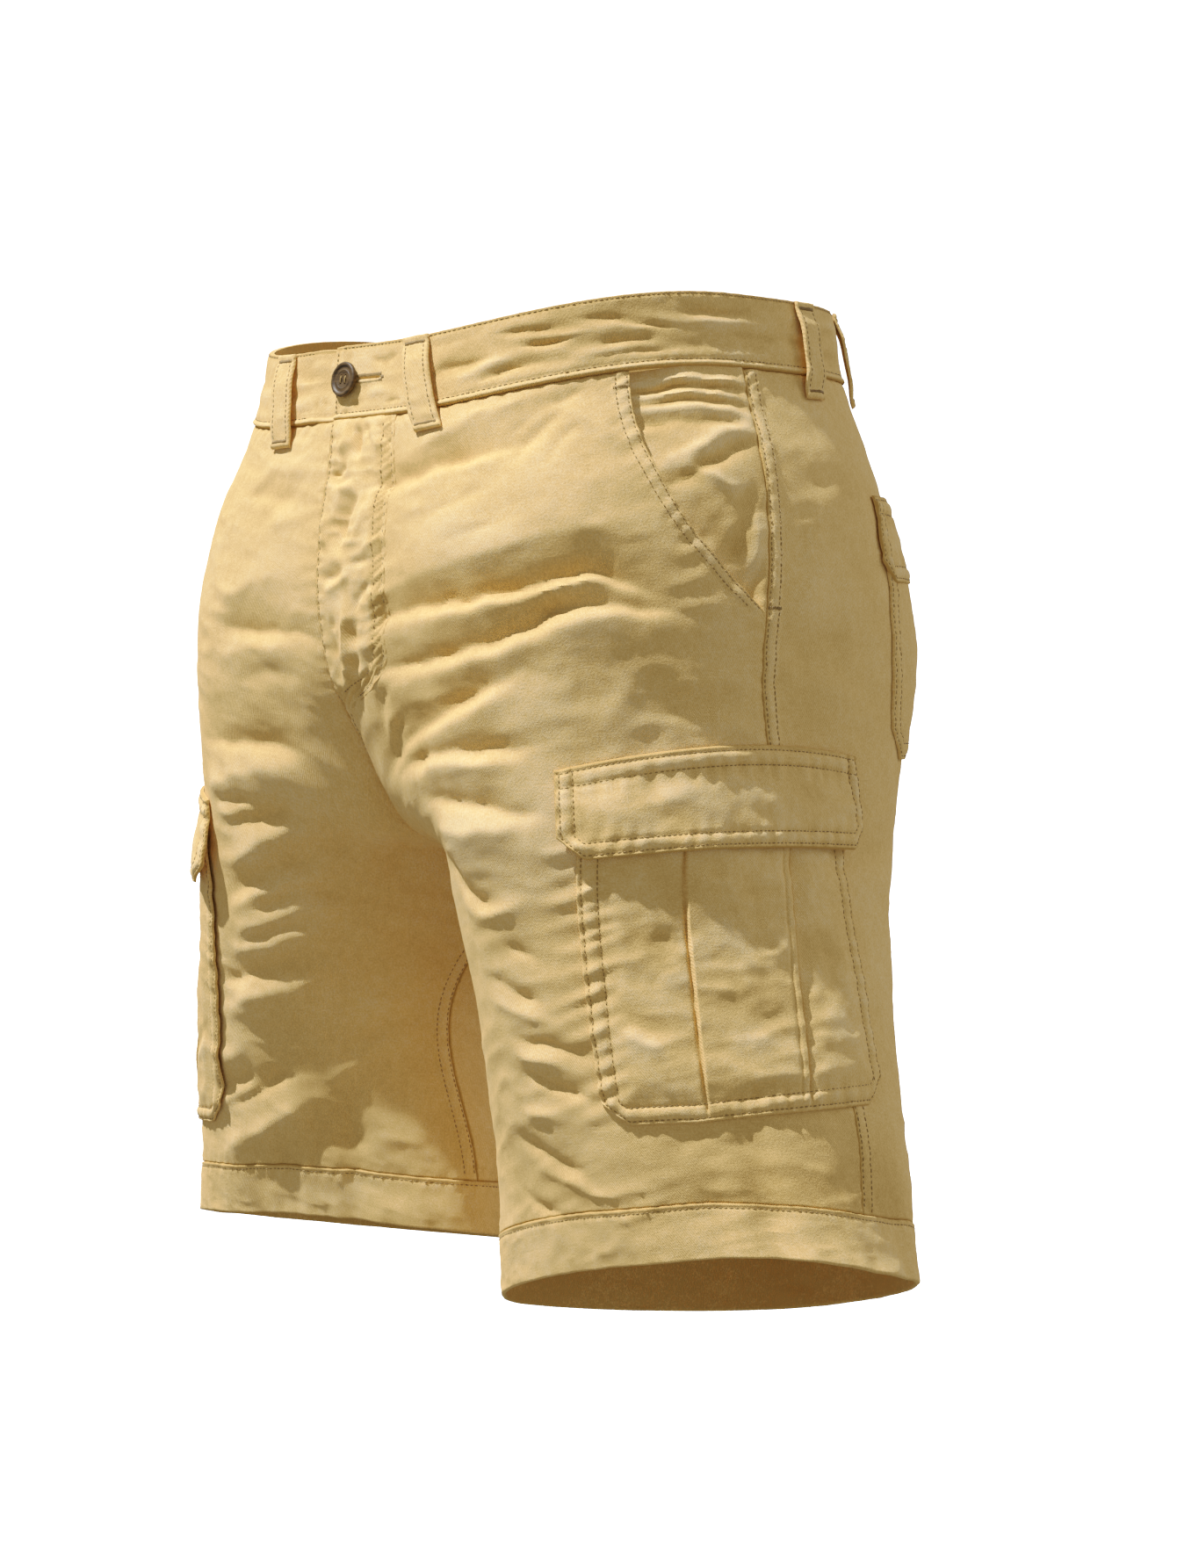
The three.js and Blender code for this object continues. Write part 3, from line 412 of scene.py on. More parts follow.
def wander(x, y, size, seed):
    """Uneven ground, -1 to 1, with bumps of about the size given."""
    lattice = chance(seed).uniform(-1, 1, (97, 97))
    u = x / size
    v = y / size
    i = np.floor(u).astype(int)
    j = np.floor(v).astype(int)
    s = smooth(u - i)
    t = smooth(v - j)
    near = lerp(lattice[i % 97, j % 97], lattice[(i + 1) % 97, j % 97], s)
    far = lerp(lattice[i % 97, (j + 1) % 97], lattice[(i + 1) % 97, (j + 1) % 97], s)
    return lerp(near, far, t)


def crumple(x, y, size, seed):
    """Uneven ground, -1 to 1, whose ridges are sharp, as cloth has where it has been pressed and worn."""
    return 1 - 2 * np.sqrt(wander(x, y, size, seed) ** 2 + 0.004)


def puckers(run, seed, pitch=3.6):
    """Ups and downs, -1 to 1, of cloth that a seam draws in, at uneven places along it."""
    luck = chance(seed)
    count = 900
    places = np.cumsum(luck.uniform(0.5, 1.5, count) * pitch) - 700
    heights = luck.uniform(0.2, 1, count) * np.where(np.arange(count) % 2, 1, -1)
    i = np.clip(np.searchsorted(places, run) - 1, 0, count - 2)
    t = smooth((run - places[i]) / (places[i + 1] - places[i]))
    return lerp(heights[i], heights[i + 1], t)


def gathered(distance, width, run, seed, pitch=3.6):
    """Puckers that end within about twice a width of a seam."""
    return bump(distance, width) * puckers(run, seed, pitch)


def levels(drop):
    """The form's sizes at each drop. The inner columns turn a corner at the crotch."""
    rows = np.array(SECTIONS, float)
    result = {}
    for k, name in enumerate(COLUMNS):
        result[name] = curve(drop, rows[:, 0], rows[:, k])
        if name in INNER_COLUMNS:
            seat = curve(drop, rows[:CROTCH_ROW + 1, 0], rows[:CROTCH_ROW + 1, k])
            leg = curve(drop, rows[CROTCH_ROW:, 0], rows[CROTCH_ROW:, k])
            result[name] = np.where(drop <= CROTCH_DROP, seat, leg)
    return result


def form_sections(side, drop):
    """Points round the form at each drop, with their turn from -1 to 1, and the lengths of both halves."""
    size = {name: value[:, None] for name, value in levels(drop).items()}
    steps = 96
    t = np.linspace(0, 1, steps + 1)
    e = smooth(t)
    size["level"] = 0
    quarters = []
    for square, turn, x0, x1, y0, y1, rise0, rise1 in QUARTERS:
        s = np.sin(t * math.pi / 2) ** (2 / square)
        c = np.cos(t * math.pi / 2).clip(0) ** (2 / square)
        if turn == "sine":
            s, c = c, s
        x = size[x0] + (size[x1] - size[x0]) * c
        y = size[y0] + (size[y1] - size[y0]) * s
        rise = lerp(size[rise0], size[rise1], e)
        quarters.append(np.stack((x, y, rise), -1)[:, 1 if quarters else 0:])
    points = np.concatenate(quarters, 1)
    x, y = points[..., 0], points[..., 1]
    pose = POSE[side]
    leg = np.clip((drop - CROTCH_DROP) / (HEM_DROP - CROTCH_DROP), 0, 1)[:, None]
    middle_x = (size["side_x"] + size["inner_x"]) / 2
    middle_y = (size["front_y"] + size["back_y"]) / 2
    raised = (pose["front_up"] * (middle_y - y) / ((size["back_y"] - size["front_y"]) / 2)
              + pose["out_up"] * (x - middle_x) / ((size["side_x"] - size["inner_x"]) / 2))
    z = points[..., 2] - BAND_HEIGHT / 2 - drop[:, None] + leg * raised
    points = np.stack((side * (x + leg * pose["spread"]), y + leg * pose["swing"], z), -1)
    run = np.cumsum(np.linalg.norm(np.diff(points, axis=1), axis=2), 1)
    run = np.concatenate((np.zeros((len(drop), 1)), run), 1)
    at_side = run[:, 2 * steps:2 * steps + 1]
    back = run[:, -1:] - at_side
    turns = np.where(run < at_side, (run - at_side) / at_side, (run - at_side) / back)
    return points, turns, at_side[:, 0], back[:, 0]


HALF = 400                        # columns of the form's table from the side to either end
PAD = 80                          # columns beyond an end, over the centre or the inside leg seam
DROP_LOW = -41
DROP_HIGH = 463


@functools.lru_cache(maxsize=None)
def form_table():
    """For each side, points and outward normals of the form on an even grid of drop and turn."""
    drop = np.arange(DROP_LOW, DROP_HIGH + 1.0)
    grid = np.linspace(-1, 1, 2 * HALF + 1)
    own = {}
    lengths = {}
    for side in (1, -1):
        points, turns, front, back = form_sections(side, drop)
        even = np.empty((len(drop), len(grid), 3))
        for row in range(len(drop)):
            for axis in range(3):
                even[row, :, axis] = np.interp(grid, turns[row], points[row, :, axis])
        own[side] = even
        lengths[side] = (front, back)
    seat = (drop <= CROTCH_DROP)[:, None, None]
    table = {}
    low = np.searchsorted(drop, np.minimum(drop + 2, HEM_DROP))
    high = np.searchsorted(drop, np.maximum(drop - 2, -BAND_HEIGHT))
    for side in (1, -1):
        mine, other = own[side], own[-side]
        before = np.where(seat, other[:, PAD:0:-1], mine[:, -PAD - 1:-1])
        after = np.where(seat, other[:, -2:-PAD - 2:-1], mine[:, 1:PAD + 1])
        points = np.concatenate((before, mine, after), 1)
        across = np.roll(points, -6, 1) - np.roll(points, 6, 1)
        normals = np.cross(points[low] - points[high], across) * side
        weights = (1, 2, 3, 2, 1)
        rows = np.arange(len(drop))
        normals = sum(w * normals[np.clip(rows + k - 2, 0, len(drop) - 1)] for k, w in enumerate(weights))
        normals /= np.linalg.norm(normals, axis=2, keepdims=True).clip(1e-9)
        front, back = lengths[side]
        table[side] = {"points": points, "normals": normals, "front": front, "back": back}
    return table


def ends(side, drop):
    """How far the cloth reaches from the side line to its front and back ends at each drop."""
    table = form_table()[side]
    grid = np.arange(DROP_LOW, DROP_HIGH + 1.0)
    return -np.interp(drop, grid, table["front"]), np.interp(drop, grid, table["back"])


def ends_at(side, drop):
    """The same at one drop, as plain numbers."""
    return [float(end) for end in ends(side, np.array(drop))]


def on_form(side, across, drop):
    """Points and outward normals of the bare form."""
    table = form_table()[side]
    across, drop = paired(across, drop)
    front, back = ends(side, drop)
    turn = np.where(across < 0, -across / front, across / back)
    columns = table["points"].shape[1]
    u = np.clip((turn + 1) * HALF + PAD, 0, columns - 1.001)
    v = np.clip(drop - DROP_LOW, 0, DROP_HIGH - DROP_LOW - 0.001)
    j = u.astype(int)
    i = v.astype(int)
    s = (u - j)[..., None]
    t = (v - i)[..., None]
    found = []
    for key in ("points", "normals"):
        grid = table[key]
        upper = lerp(grid[i, j], grid[i, j + 1], s)
        lower = lerp(grid[i + 1, j], grid[i + 1, j + 1], s)
        found.append(lerp(upper, lower, t))
    return found[0], found[1] / np.linalg.norm(found[1], axis=-1, keepdims=True)


def nearest(x, y, line):
    """From each place to a line: the gap, plus below or right of it, and how far along it that is."""
    best = np.full(x.shape, np.inf)
    off = np.zeros(x.shape)
    run = np.zeros(x.shape)
    past = 0.0
    for (x0, y0), (x1, y1) in zip(line[:-1], line[1:]):
        dx, dy = x1 - x0, y1 - y0
        length = math.hypot(dx, dy)
        t = np.clip(((x - x0) * dx + (y - y0) * dy) / length ** 2, 0, 1)
        gap = np.hypot(x - x0 - t * dx, y - y0 - t * dy)
        closer = gap < best
        best = np.where(closer, gap, best)
        off = np.where(closer, np.where(dx * (y - y0) - dy * (x - x0) > 0, gap, -gap), off)
        run = np.where(closer, past + t * length, run)
        past += length
    return off, run, past


def bent(line):
    """A line through places, smooth at its bends."""
    line = np.array(line, float)
    if len(line) < 3:
        return line
    run = np.concatenate(([0], np.cumsum(np.hypot(*np.diff(line, axis=0).T))))
    at = np.linspace(0, run[-1], max(3, int(run[-1] / 8)))
    return np.stack((curve(at, run, line[:, 0]), curve(at, run, line[:, 1])), 1)


def crease(x, y, height, above, below, line):
    """One crease: a ridge along a line, or a trough where the height is minus, ending in nothing."""
    line = bent(sorted(line) if abs(line[0][0] - line[-1][0]) > abs(line[0][1] - line[-1][1]) else line)
    reach = 2.6 * max(above, below)
    low = line.min(0) - reach
    high = line.max(0) + reach
    near = (x > low[0]) & (x < high[0]) & (y > low[1]) & (y < high[1])
    result = np.zeros(x.shape)
    if not near.any():
        return result
    off, run, length = nearest(x[near], y[near], line)
    fade = smooth(np.minimum(run, length - run) / (0.34 * length))
    place = run + 7 * line[0, 0]
    uneven = 1 + 0.3 * wander(place, 3 * line[0, 1] + 0 * run, 15, 5)
    off = off + min(1.6, 0.2 * (above + below)) * wander(place, 0.4 * off, 11, 6)
    width = np.where(off > 0, below, above)
    result[near] = height * fade * uneven * np.exp(-(np.sqrt((off / width) ** 2 + 0.01)) ** 1.35)
    return result


def leg_place(side, across, drop):
    """Where a place on the left leg lies on either leg."""
    if side == 1:
        return across, drop
    return across + along(TURNED_LEG, "turn", drop), drop + along(TURNED_LEG, "slide", drop)


def side_seam(side, drop):
    """The side seam at each drop."""
    turned = 0 if side == 1 else along(TURNED_LEG, "turn", drop)
    return along(SIDE_SEAM, "across", drop) + turned


def pocket_mouth(side, drop):
    """The front panel's outer edge: the pocket's mouth, and the side seam below it."""
    return side_seam(side, drop) + np.where(drop < MOUTH_END, along(POCKET_MOUTH, "across", drop), 0)


def relief(side, across, drop):
    """How far the cloth's creases lift it off the form."""
    across, drop = paired(across, drop)
    height = np.zeros(across.shape)
    for rise, above, below, *line in CREASES[side]:
        height += crease(across, drop, rise, above, below, line)
    front, back = ends(side, drop)
    calm = smooth((across - front) / 16) * smooth((back - across) / 16)
    seed = 20 + side
    # Fine wear wrinkles run up towards the side seam
    slant = drop + 0.2 * across
    height += calm * (0.7 * wander(across * 0.55, drop, 24, seed)
                      + 0.46 * crumple(across * 0.55, slant, 13, seed + 5)
                      + 0.18 * crumple(across * 0.8, slant, 6, seed + 9))
    height *= smooth((drop + 1) / 9)
    # The cargo pocket's edge draws the leg in
    mark, down = across, drop
    if side == -1:
        mark = across - along(TURNED_LEG, "turn", drop - 16)
        down = drop - along(TURNED_LEG, "slide", drop - 16)
    level = down - CARGO["top"]
    edge = mark - CARGO["left"] - CARGO["left_lean"] * level
    beside = smooth((level - 12) / 20) * smooth((178 - level) / 12)
    fall = np.where(edge < 0, bump(edge, 15), bump(edge, 11))
    height += (0.75 if side == 1 else 0.35) * beside * fall * puckers(level + 0.35 * edge, 61 + side, 6.2)
    return height


def lay(side, across, drop, lift):
    """Points lifted off the creased cloth."""
    point, normal = on_form(side, across, drop)
    return point + normal * (lift + relief(side, across, drop))[..., None]


def roll(distance, radius):
    """How far a rounded edge falls, by the distance from it."""
    t = np.clip(1 - distance / radius, 0, 1)
    return radius * (1 - np.sqrt(1 - t * t))


def seam_rows(distance, kind="seam", depth=0.32):
    """The furrows that two rows of stitches pull down beside an edge."""
    first, second = ROWS[kind]
    return -depth * (bump(distance - first, 0.85) + bump(distance - second, 0.85))


# How far columns or rows stand from an edge, close together where it rolls over and is stitched
EDGE = np.array([0, 0.3, 0.7, 1.2, 1.8, 2.5, 3.4, 4.6, 5.8, 6.8, 7.4, 7.9, 8.6, 9.6, 11, 12.8, 15])


def spaced(length, pitch):
    """Places over a length: (distance from the low edge, part of what lies between the edges' places)."""
    count = max(2, int(round((length - 2 * EDGE[-1]) / pitch)))
    middle = np.arange(1, count) / count
    offset = np.concatenate((EDGE, np.full(count - 1, EDGE[-1]), 2 * EDGE[-1] - EDGE[::-1]))
    part = np.concatenate((np.zeros(len(EDGE)), middle, np.ones(len(EDGE))))
    return offset, part


def over(spacing, low, high):
    """The places of spaced() between two edges."""
    offset, part = spacing
    return low + offset + part * (high - low - 2 * EDGE[-1])


def panel_edges(side, part, drop):
    """The two long edges of a front or back panel."""
    front, back = ends(side, drop)
    if part == "front":
        return front + SIDE_GAP, pocket_mouth(side, drop) - SIDE_GAP
    return side_seam(side, drop) + SIDE_GAP, back - SIDE_GAP


def panel_detail(side, part, across, drop):
    """What a panel's seams do to its outside."""
    low, high = panel_edges(side, part, drop)
    left = across - low
    right = high - across
    seed = {"front": 100, "back": 200}[part] + side
    below_band = drop - ROUND_GAP
    above_hem = HEM_SEAM_DROP - ROUND_GAP - drop
    height = -roll(left, 0.9) - roll(right, 0.9) - roll(below_band, 0.9) - roll(above_hem, 0.7)
    height += 0.4 * gathered(below_band, 8, across - 0.4 * below_band, seed, 5.2)
    height -= 0.5 * bump(below_band, 1.6)
    height += 0.42 * gathered(above_hem, 9, across + 0.5 * above_hem, seed + 1, 4.4)
    on_leg = smooth((drop - 238) / 8)
    if part == "front":
        mouth = smooth((MOUTH_END + 3 - drop) / 8)
        doubled = smooth((9.6 - right) / 1.6)
        height += mouth * (0.5 * doubled + seam_rows(right)
                           + 0.45 * gathered(right - 4, 8, drop - 0.5 * right, seed + 2, 3.4))
        height += (1 - mouth) * 0.3 * gathered(right, 6, drop, seed + 3, 4)
        height += on_leg * (0.4 * smooth((9.6 - left) / 1.6) + seam_rows(left) - 0.9 * bump(left, 1.1)
                            + 0.3 * gathered(left - 4, 7, drop, seed + 4, 4))
        if side == 1:
            seat = smooth((drop - 158) / 8) * (1 - on_leg)
            height += seat * (0.5 * smooth((9.6 - left) / 1.6) + seam_rows(left, depth=0.5)
                              - 1.3 * bump(left, 1.1) + 0.45 * gathered(left - 4, 8, drop, seed + 5, 4.4))
        else:
            height += (1 - on_leg) * (0.5 * gathered(left, 9, drop, seed + 6, 5) - 1.6 * bump(left, 1.3))
    else:
        flat = 1 - 0.6 * smooth((drop - 370) / 12)
        height += flat * (0.65 * smooth((9.8 - left) / 1.4) * smooth(left / 3.4) + seam_rows(left, depth=0.4))
        height += flat * 0.5 * gathered(left - 4.5, 8, drop + 0.6 * left, seed + 7, 3.8)
        if side == 1:
            height += (1 - on_leg) * (0.6 * smooth((9.8 - right) / 1.4) + seam_rows(right))
        height += (1 - on_leg) * 0.4 * gathered(right - 4, 8, drop, seed + 8, 4.4)
        height += on_leg * 0.3 * gathered(right, 6, drop, seed + 9, 4)
    return height


def keep_side(side, points):
    """A panel stays on its own side of the centre."""
    points[..., 0] = side * np.maximum(side * points[..., 0], SIDE_GAP)
    return points


def panel_skin(side, part, across, drop, lift=0.0):
    """The outside of a panel."""
    return keep_side(side, lay(side, across, drop, lift + panel_detail(side, part, across, drop)))


def fly_line():
    """The fly lap's stitched outline, as (width from the centre, drop)."""
    drop = np.linspace(0, FLY_END, 60)
    return np.stack((along(FLY, "width", drop), drop), 1)


def fly_lifts(offset, drop):
    """The inside and outside of the fly lap over the fronts."""
    line = fly_line()
    inner_edge = np.abs(nearest(offset, drop, line)[0])
    inner_edge = np.minimum(inner_edge, FLY_END - drop)
    open_edge = offset - along(FLY, "edge", drop)
    inside = 0.02 + 0.93 * smooth(inner_edge / 12) * smooth(drop / 6)
    outside = inside + 0.1 + 1.2 * smooth(inner_edge / 14) - roll(open_edge, 1.0)
    outside += seam_rows(inner_edge, "fly", 0.5)
    outside += 0.75 * gathered(inner_edge - 5, 5.5, drop + 0.7 * offset, 41, 2.7)
    outside += 0.5 * gathered(open_edge - 2, 5, drop, 42, 4.2) - 0.5 * bump(open_edge - OPEN_ROW, 0.7)
    outside += 0.45 * smooth(inner_edge / 10) * smooth(open_edge / 8) * crumple(offset, drop, 7, 43)
    outside -= roll(drop - ROUND_GAP, 0.9)
    return inside, outside


def fly_skin(offset, drop, lift=0.0):
    """The outside of the fly lap."""
    centre = ends(1, drop)[0]
    return lay(1, centre + offset, drop, lift + fly_lifts(offset, drop)[1])


def cargo_marks(row):
    """A cargo pocket's edges and folds at each row."""
    down = row * (CARGO["bottom"] - CARGO["top"])
    return [CARGO[name] + CARGO[name + "_lean"] * down for name in ("left", "right", "fold_a", "fold_b")]


def cargo_length(row, mark):
    """How long a cargo pocket is down each line."""
    left, right, _, _ = cargo_marks(row)
    span = CARGO["bottom"] - CARGO["top"]
    cut = np.maximum(0, CARGO["cut"] - np.minimum(np.abs(mark - left), np.abs(mark - right)))
    return span - cut - 0.12 * np.maximum(0, mark + 75)


def cargo_lifts(side, row, mark):
    """The inside and outside of a cargo pocket."""
    left, right, fold_a, fold_b = cargo_marks(row)
    length = cargo_length(row, mark)
    down = row * length
    from_left = mark - left
    from_right = right - mark
    from_bottom = (1 - row) * length
    rim = np.minimum(np.minimum(from_left, from_right), from_bottom)
    body = smooth((rim - 9.2) / 12)
    past_a = mark - fold_a
    past_b = mark - fold_b
    beside = 1.7 * (1 - 0.6 * bump(np.minimum(past_a, 0), 9)) * np.where(past_a < 0, 1, 0)
    pleat = 2.5 * smooth((past_a + 0.5) / 0.9) * (1 - smooth((past_b + 0.2) / 0.9))
    after = 1.7 * smooth(past_b / 12) * np.where(past_b > 0, 1, 0)
    settle = smooth(from_bottom / 60)
    full = (beside + pleat * (0.55 + 0.45 * settle) + after) * body
    swell = 0.12 + 0.88 * smooth(row / 0.28)
    full = full * swell
    pinch = smooth((from_bottom - 1) / 8)
    grooves = pinch * (-1.5 * bump(past_a + 0.9, 0.8) - 1.2 * bump(past_b - 0.6, 0.7)
                       - 0.7 * bump(past_b + 4.3, 0.7))
    inside = 0.35 + 0.6 * smooth(rim / 6) + full * 0.9
    drawn = 0.75
    if side == -1:
        inside = inside + 1.6 * (1 - smooth(from_left / 16))
        drawn = 0.3
    outside = inside + 1.5 - roll(rim, 1.2) + grooves + seam_rows(rim, "cargo", 0.55)
    outside += 0.3 * bump(rim - 6, 2.4)
    outside += drawn * gathered(from_left - 6, 9, down + 0.4 * from_left, 71 + side, 4.6)
    outside += 0.55 * gathered(from_bottom - 5, 8, mark, 75 + side, 4.6)
    outside += 0.5 * gathered(from_right - 5, 8, down, 79 + side, 4.6)
    outside += 0.4 * body * crumple(mark * 0.8, down, 12, 96 + side)
    for height, above, below, *line in POCKET_CREASES:
        outside += 1.3 * crease(from_left, down, height, above, below, line)
    outside += 0.28 * body * wander(mark, down, 13, 90 + side) + 0.12 * wander(mark, down, 5, 93 + side)
    return inside, np.maximum(outside, inside + 0.5)


def cargo_skin(side, row, mark, lift=0.0, inside=False):
    """The outside of a cargo pocket, or its inside."""
    row, mark = paired(row, mark)
    across, drop = leg_place(side, mark, CARGO["top"] + row * cargo_length(row, mark))
    return lay(side, across, drop, lift + cargo_lifts(side, row, mark)[0 if inside else 1])


def flap_place(side, sizes, row, mark):
    """A place on a flap: across, drop, length down its line, and how far its ends are."""
    bow = (mark - sizes["bow_at"]) ** 2
    from_end = np.minimum(mark - sizes["left"], sizes["right"] - mark)
    cut = np.maximum(0, sizes["cut"] - from_end)
    top = sizes["top"] + sizes["top_bow"] * bow
    length = sizes["bottom"] + sizes["bottom_bow"] * bow - cut - top
    down = top + row * length
    across, drop = leg_place(side, mark, down) if sizes["on_leg"] else (mark, down)
    return across, drop, length, from_end


def flap_lifts(side, sizes, row, mark):
    """The inside and outside of a flap."""
    _, _, length, from_end = flap_place(side, sizes, row, mark)
    stands = curve(row, np.linspace(0, 1, len(sizes["stands"])), sizes["stands"])
    inside = LAID_ON + (stands - LAID_ON) * lerp(0.5, 1, smooth(from_end / 10))
    from_top = row * length
    from_bottom = (1 - row) * length
    rim = np.minimum(from_end, from_bottom)
    seed = int(sizes["top"]) + side
    if sizes["on_leg"] and side == -1:
        inside = inside + 5 * smooth((row - 0.2) / 0.8) * smooth((sizes["left"] + 40 - mark) / 40)
    inside = inside - 0.55 * bump(from_top, 3) * smooth(from_end / 3)
    outside = inside + 1.8 - roll(np.minimum(rim, from_top), 1.3)
    outside += seam_rows(from_top, "flap_top", 0.6) + 0.5 * bump(from_top - 6, 3)
    outside += seam_rows(rim, "flap_rim", 0.5) + 0.35 * bump(rim - 5.2, 2)
    outside += 0.6 * gathered(from_bottom - 5, 8, mark - 0.3 * from_bottom, seed, 4)
    outside += 0.5 * gathered(from_top - 11, 8, mark, seed + 3, 4.6)
    outside += 0.45 * gathered(from_end - 5, 7, from_top, seed + 5, 4)
    middle = smooth(from_bottom / 9) * smooth((from_top - 9) / 5)
    outside += 0.5 * middle * crumple(mark * 0.7, from_top, 11, seed + 9)
    outside += 0.3 * wander(mark * 0.6, from_top, 12, seed + 7) + 0.12 * wander(mark, from_top, 4.5, seed + 8)
    return inside, np.maximum(outside, inside + 0.5)


def flap_skin(side, sizes, row, mark, lift=0.0, inside=False):
    """The outside of a flap, or its inside."""
    row, mark = paired(row, mark)
    across, drop, _, _ = flap_place(side, sizes, row, mark)
    return lay(side, across, drop, lift + flap_lifts(side, sizes, row, mark)[0 if inside else 1])


def back_pocket_length(across):
    """How long a back pocket is down each line."""
    from_end = np.minimum(across - BACK_POCKET["left"], BACK_POCKET["right"] - across)
    cut = np.maximum(0, BACK_POCKET["cut"] - from_end)
    return BACK_POCKET["bottom"] - cut - BACK_POCKET["top"]


def back_pocket_skin(side, row, across, lift=0.0, inside=False):
    """The outside of a back pocket, or its inside."""
    row, across = paired(row, across)
    length = back_pocket_length(across)
    from_end = np.minimum(across - BACK_POCKET["left"], BACK_POCKET["right"] - across)
    from_bottom = (1 - row) * length
    rim = np.minimum(from_end, from_bottom)
    full = smooth((rim - 8) / 18) * smooth((row - 0.2) / 0.3)
    height = 0.35 + 0.6 * smooth(rim / 6) + BACK_POCKET["fullness"] * full
    if not inside:
        seed = 300 + side
        height = height + 1.5 - roll(rim, 1.2) + seam_rows(rim, "seat_pocket", 0.36)
        height += 0.4 * gathered(rim - 5, 8, row * length + across, seed, 4.6)
        down = row * length
        height += 0.3 * wander(across, down, 14, seed + 1) + 0.12 * wander(across, down, 5, seed + 2)
    return lay(side, across, BACK_POCKET["top"] + row * length, lift + height)


def band_ripples(side, across, drop):
    """The waistband's outside: long ripples, and rows of stitches near both edges."""
    from_top = drop + BAND_HEIGHT
    from_bottom = -ROUND_GAP - drop
    middle = smooth(from_top / 8) * smooth(from_bottom / 8)
    seed = 400 + side
    across, drop = paired(across, drop)
    height = 0.6 * middle * wander(across * 0.14, drop, 5.5, seed)
    height += 0.34 * middle * wander(across * 0.5, drop, 5, seed + 2)
    height += 0.3 * gathered(from_top - BAND_ROWS[0], 5, across + from_top, seed + 4, 4.2)
    height += 0.4 * gathered(from_bottom - 4, 6, across - from_bottom, seed + 5, 3.8)
    height -= 0.36 * bump(from_top - BAND_ROWS[0], 0.7) + 0.45 * bump(from_bottom - BAND_ROWS[1], 0.8)
    height += 0.65 * bump(from_bottom - 1.3, 1.2)
    for rise, above, below, *line in BAND_CREASES[side]:
        height += 1.3 * middle * crease(across, drop, rise, above, below, line)
    if side == 1:
        from_lap = across - ends_at(1, BUTTONHOLE["drop"])[0]
        shown = smooth((from_lap - BUTTONHOLE["start"]) / 2) * smooth((BUTTONHOLE["end"] - from_lap) / 2)
        below = drop - BUTTONHOLE["drop"]
        height += shown * (0.4 * bump(below - 1.5, 0.9) - 1.1 * bump(below, BUTTONHOLE["slit"]))
    return height - roll(from_top, 1.1) - roll(from_bottom, 0.9)


def band_skin(side, across, drop, lift=0.0):
    """The outside of the waistband."""
    return lay(side, across, drop, lift + BAND_PROUD + band_ripples(side, across, drop))


def hem_detail(side, across, drop):
    """The hem's outside: its stitched top edge, and a soft lower fold."""
    from_top = drop - HEM_SEAM_DROP - ROUND_GAP
    from_end = HEM_DROP - drop
    seed = 500 + side
    height = 0.4 * gathered(from_top - 3, 6, across - 0.5 * from_top, seed, 4)
    height -= 0.42 * bump(from_top - HEM_ROW, 0.85)
    height += 0.25 * gathered(from_end - 2, 8, across, seed + 1, 7)
    height += 0.2 * wander(across * 0.7, drop, 9, seed + 2)
    return height - roll(from_top, 0.9) - roll(from_end, 1.2)


def hem_skin(side, across, drop, lift=0.0):
    """The outside of a hem."""
    return lay(side, across, drop, lift + BAND_PROUD + hem_detail(side, across, drop))


def loop_skin(place, part, column, lift=0.0, inside=False):
    """The outside of a belt loop, or its inside."""
    side = place["side"]
    drop = lerp(LOOP["top"], LOOP["bottom"], part)
    if place["top"] is None:
        middle = ends(side, drop)[1]
    else:
        middle = lerp(place["top"], place["bottom"], part)
    height = curve(part, LOOP_STANDS["part"], LOOP_STANDS["lift"])
    edge = np.minimum(column, 1 - column) * LOOP["width"]
    end = np.minimum(part, 1 - part) * LOOP_LENGTH
    if not inside:
        seed = 600 + int(place["top"] or 0)
        height = height + LOOP["wall"] - roll(edge, 1.1) - roll(end, 1.2) - 0.35 * bump(edge - 2.6, 0.9)
        height = height - 0.4 * bump(end - 4, 1.3) + 0.3 * bump(end - 1.6, 1.4)
        over_width = column * LOOP["width"]
        height = height + 0.3 * wander(over_width, drop, 5, seed)
        height = height + 0.3 * crumple(over_width, drop, 7, seed + 1)
    return lay(side, middle + (column - 0.5) * LOOP["width"], drop, lift + height)


# Meshes and materials


def linear(hex_colour):
    """An sRGB hex colour as linear red, green, blue and alpha."""
    channels = [((hex_colour >> shift) & 255) / 255 for shift in (16, 8, 0)]
    return [c / 12.92 if c <= 0.04045 else ((c + 0.055) / 1.055) ** 2.4 for c in channels] + [1.0]


def add_node(tree, kind, settings=None, inputs=None):
    """A node with its settings, and its inputs set or linked."""
    node = tree.nodes.new(kind)
    for name, value in (settings or {}).items():
        setattr(node, name, value)
    for name, value in (inputs or {}).items():
        socket = node.inputs[name]
        if isinstance(value, bpy.types.NodeSocket):
            tree.links.new(value, socket)
        else:
            socket.default_value = value
    return node


def new_material(name):
    """An empty node material and its tree."""
    material = bpy.data.materials.new(name)
    material.use_nodes = True
    material.node_tree.nodes.clear()
    return material, material.node_tree


def finish_material(tree, settings):
    """A Principled shader with its inputs set or linked, joined to the output."""
    shader = add_node(tree, "ShaderNodeBsdfPrincipled", None, settings)
    add_node(tree, "ShaderNodeOutputMaterial", None, {"Surface": shader.outputs["BSDF"]})


def maths(tree, operation, *values):
    """The result of a sum on one to three values."""
    return add_node(tree, "ShaderNodeMath", {"operation": operation}, dict(enumerate(values))).outputs[0]


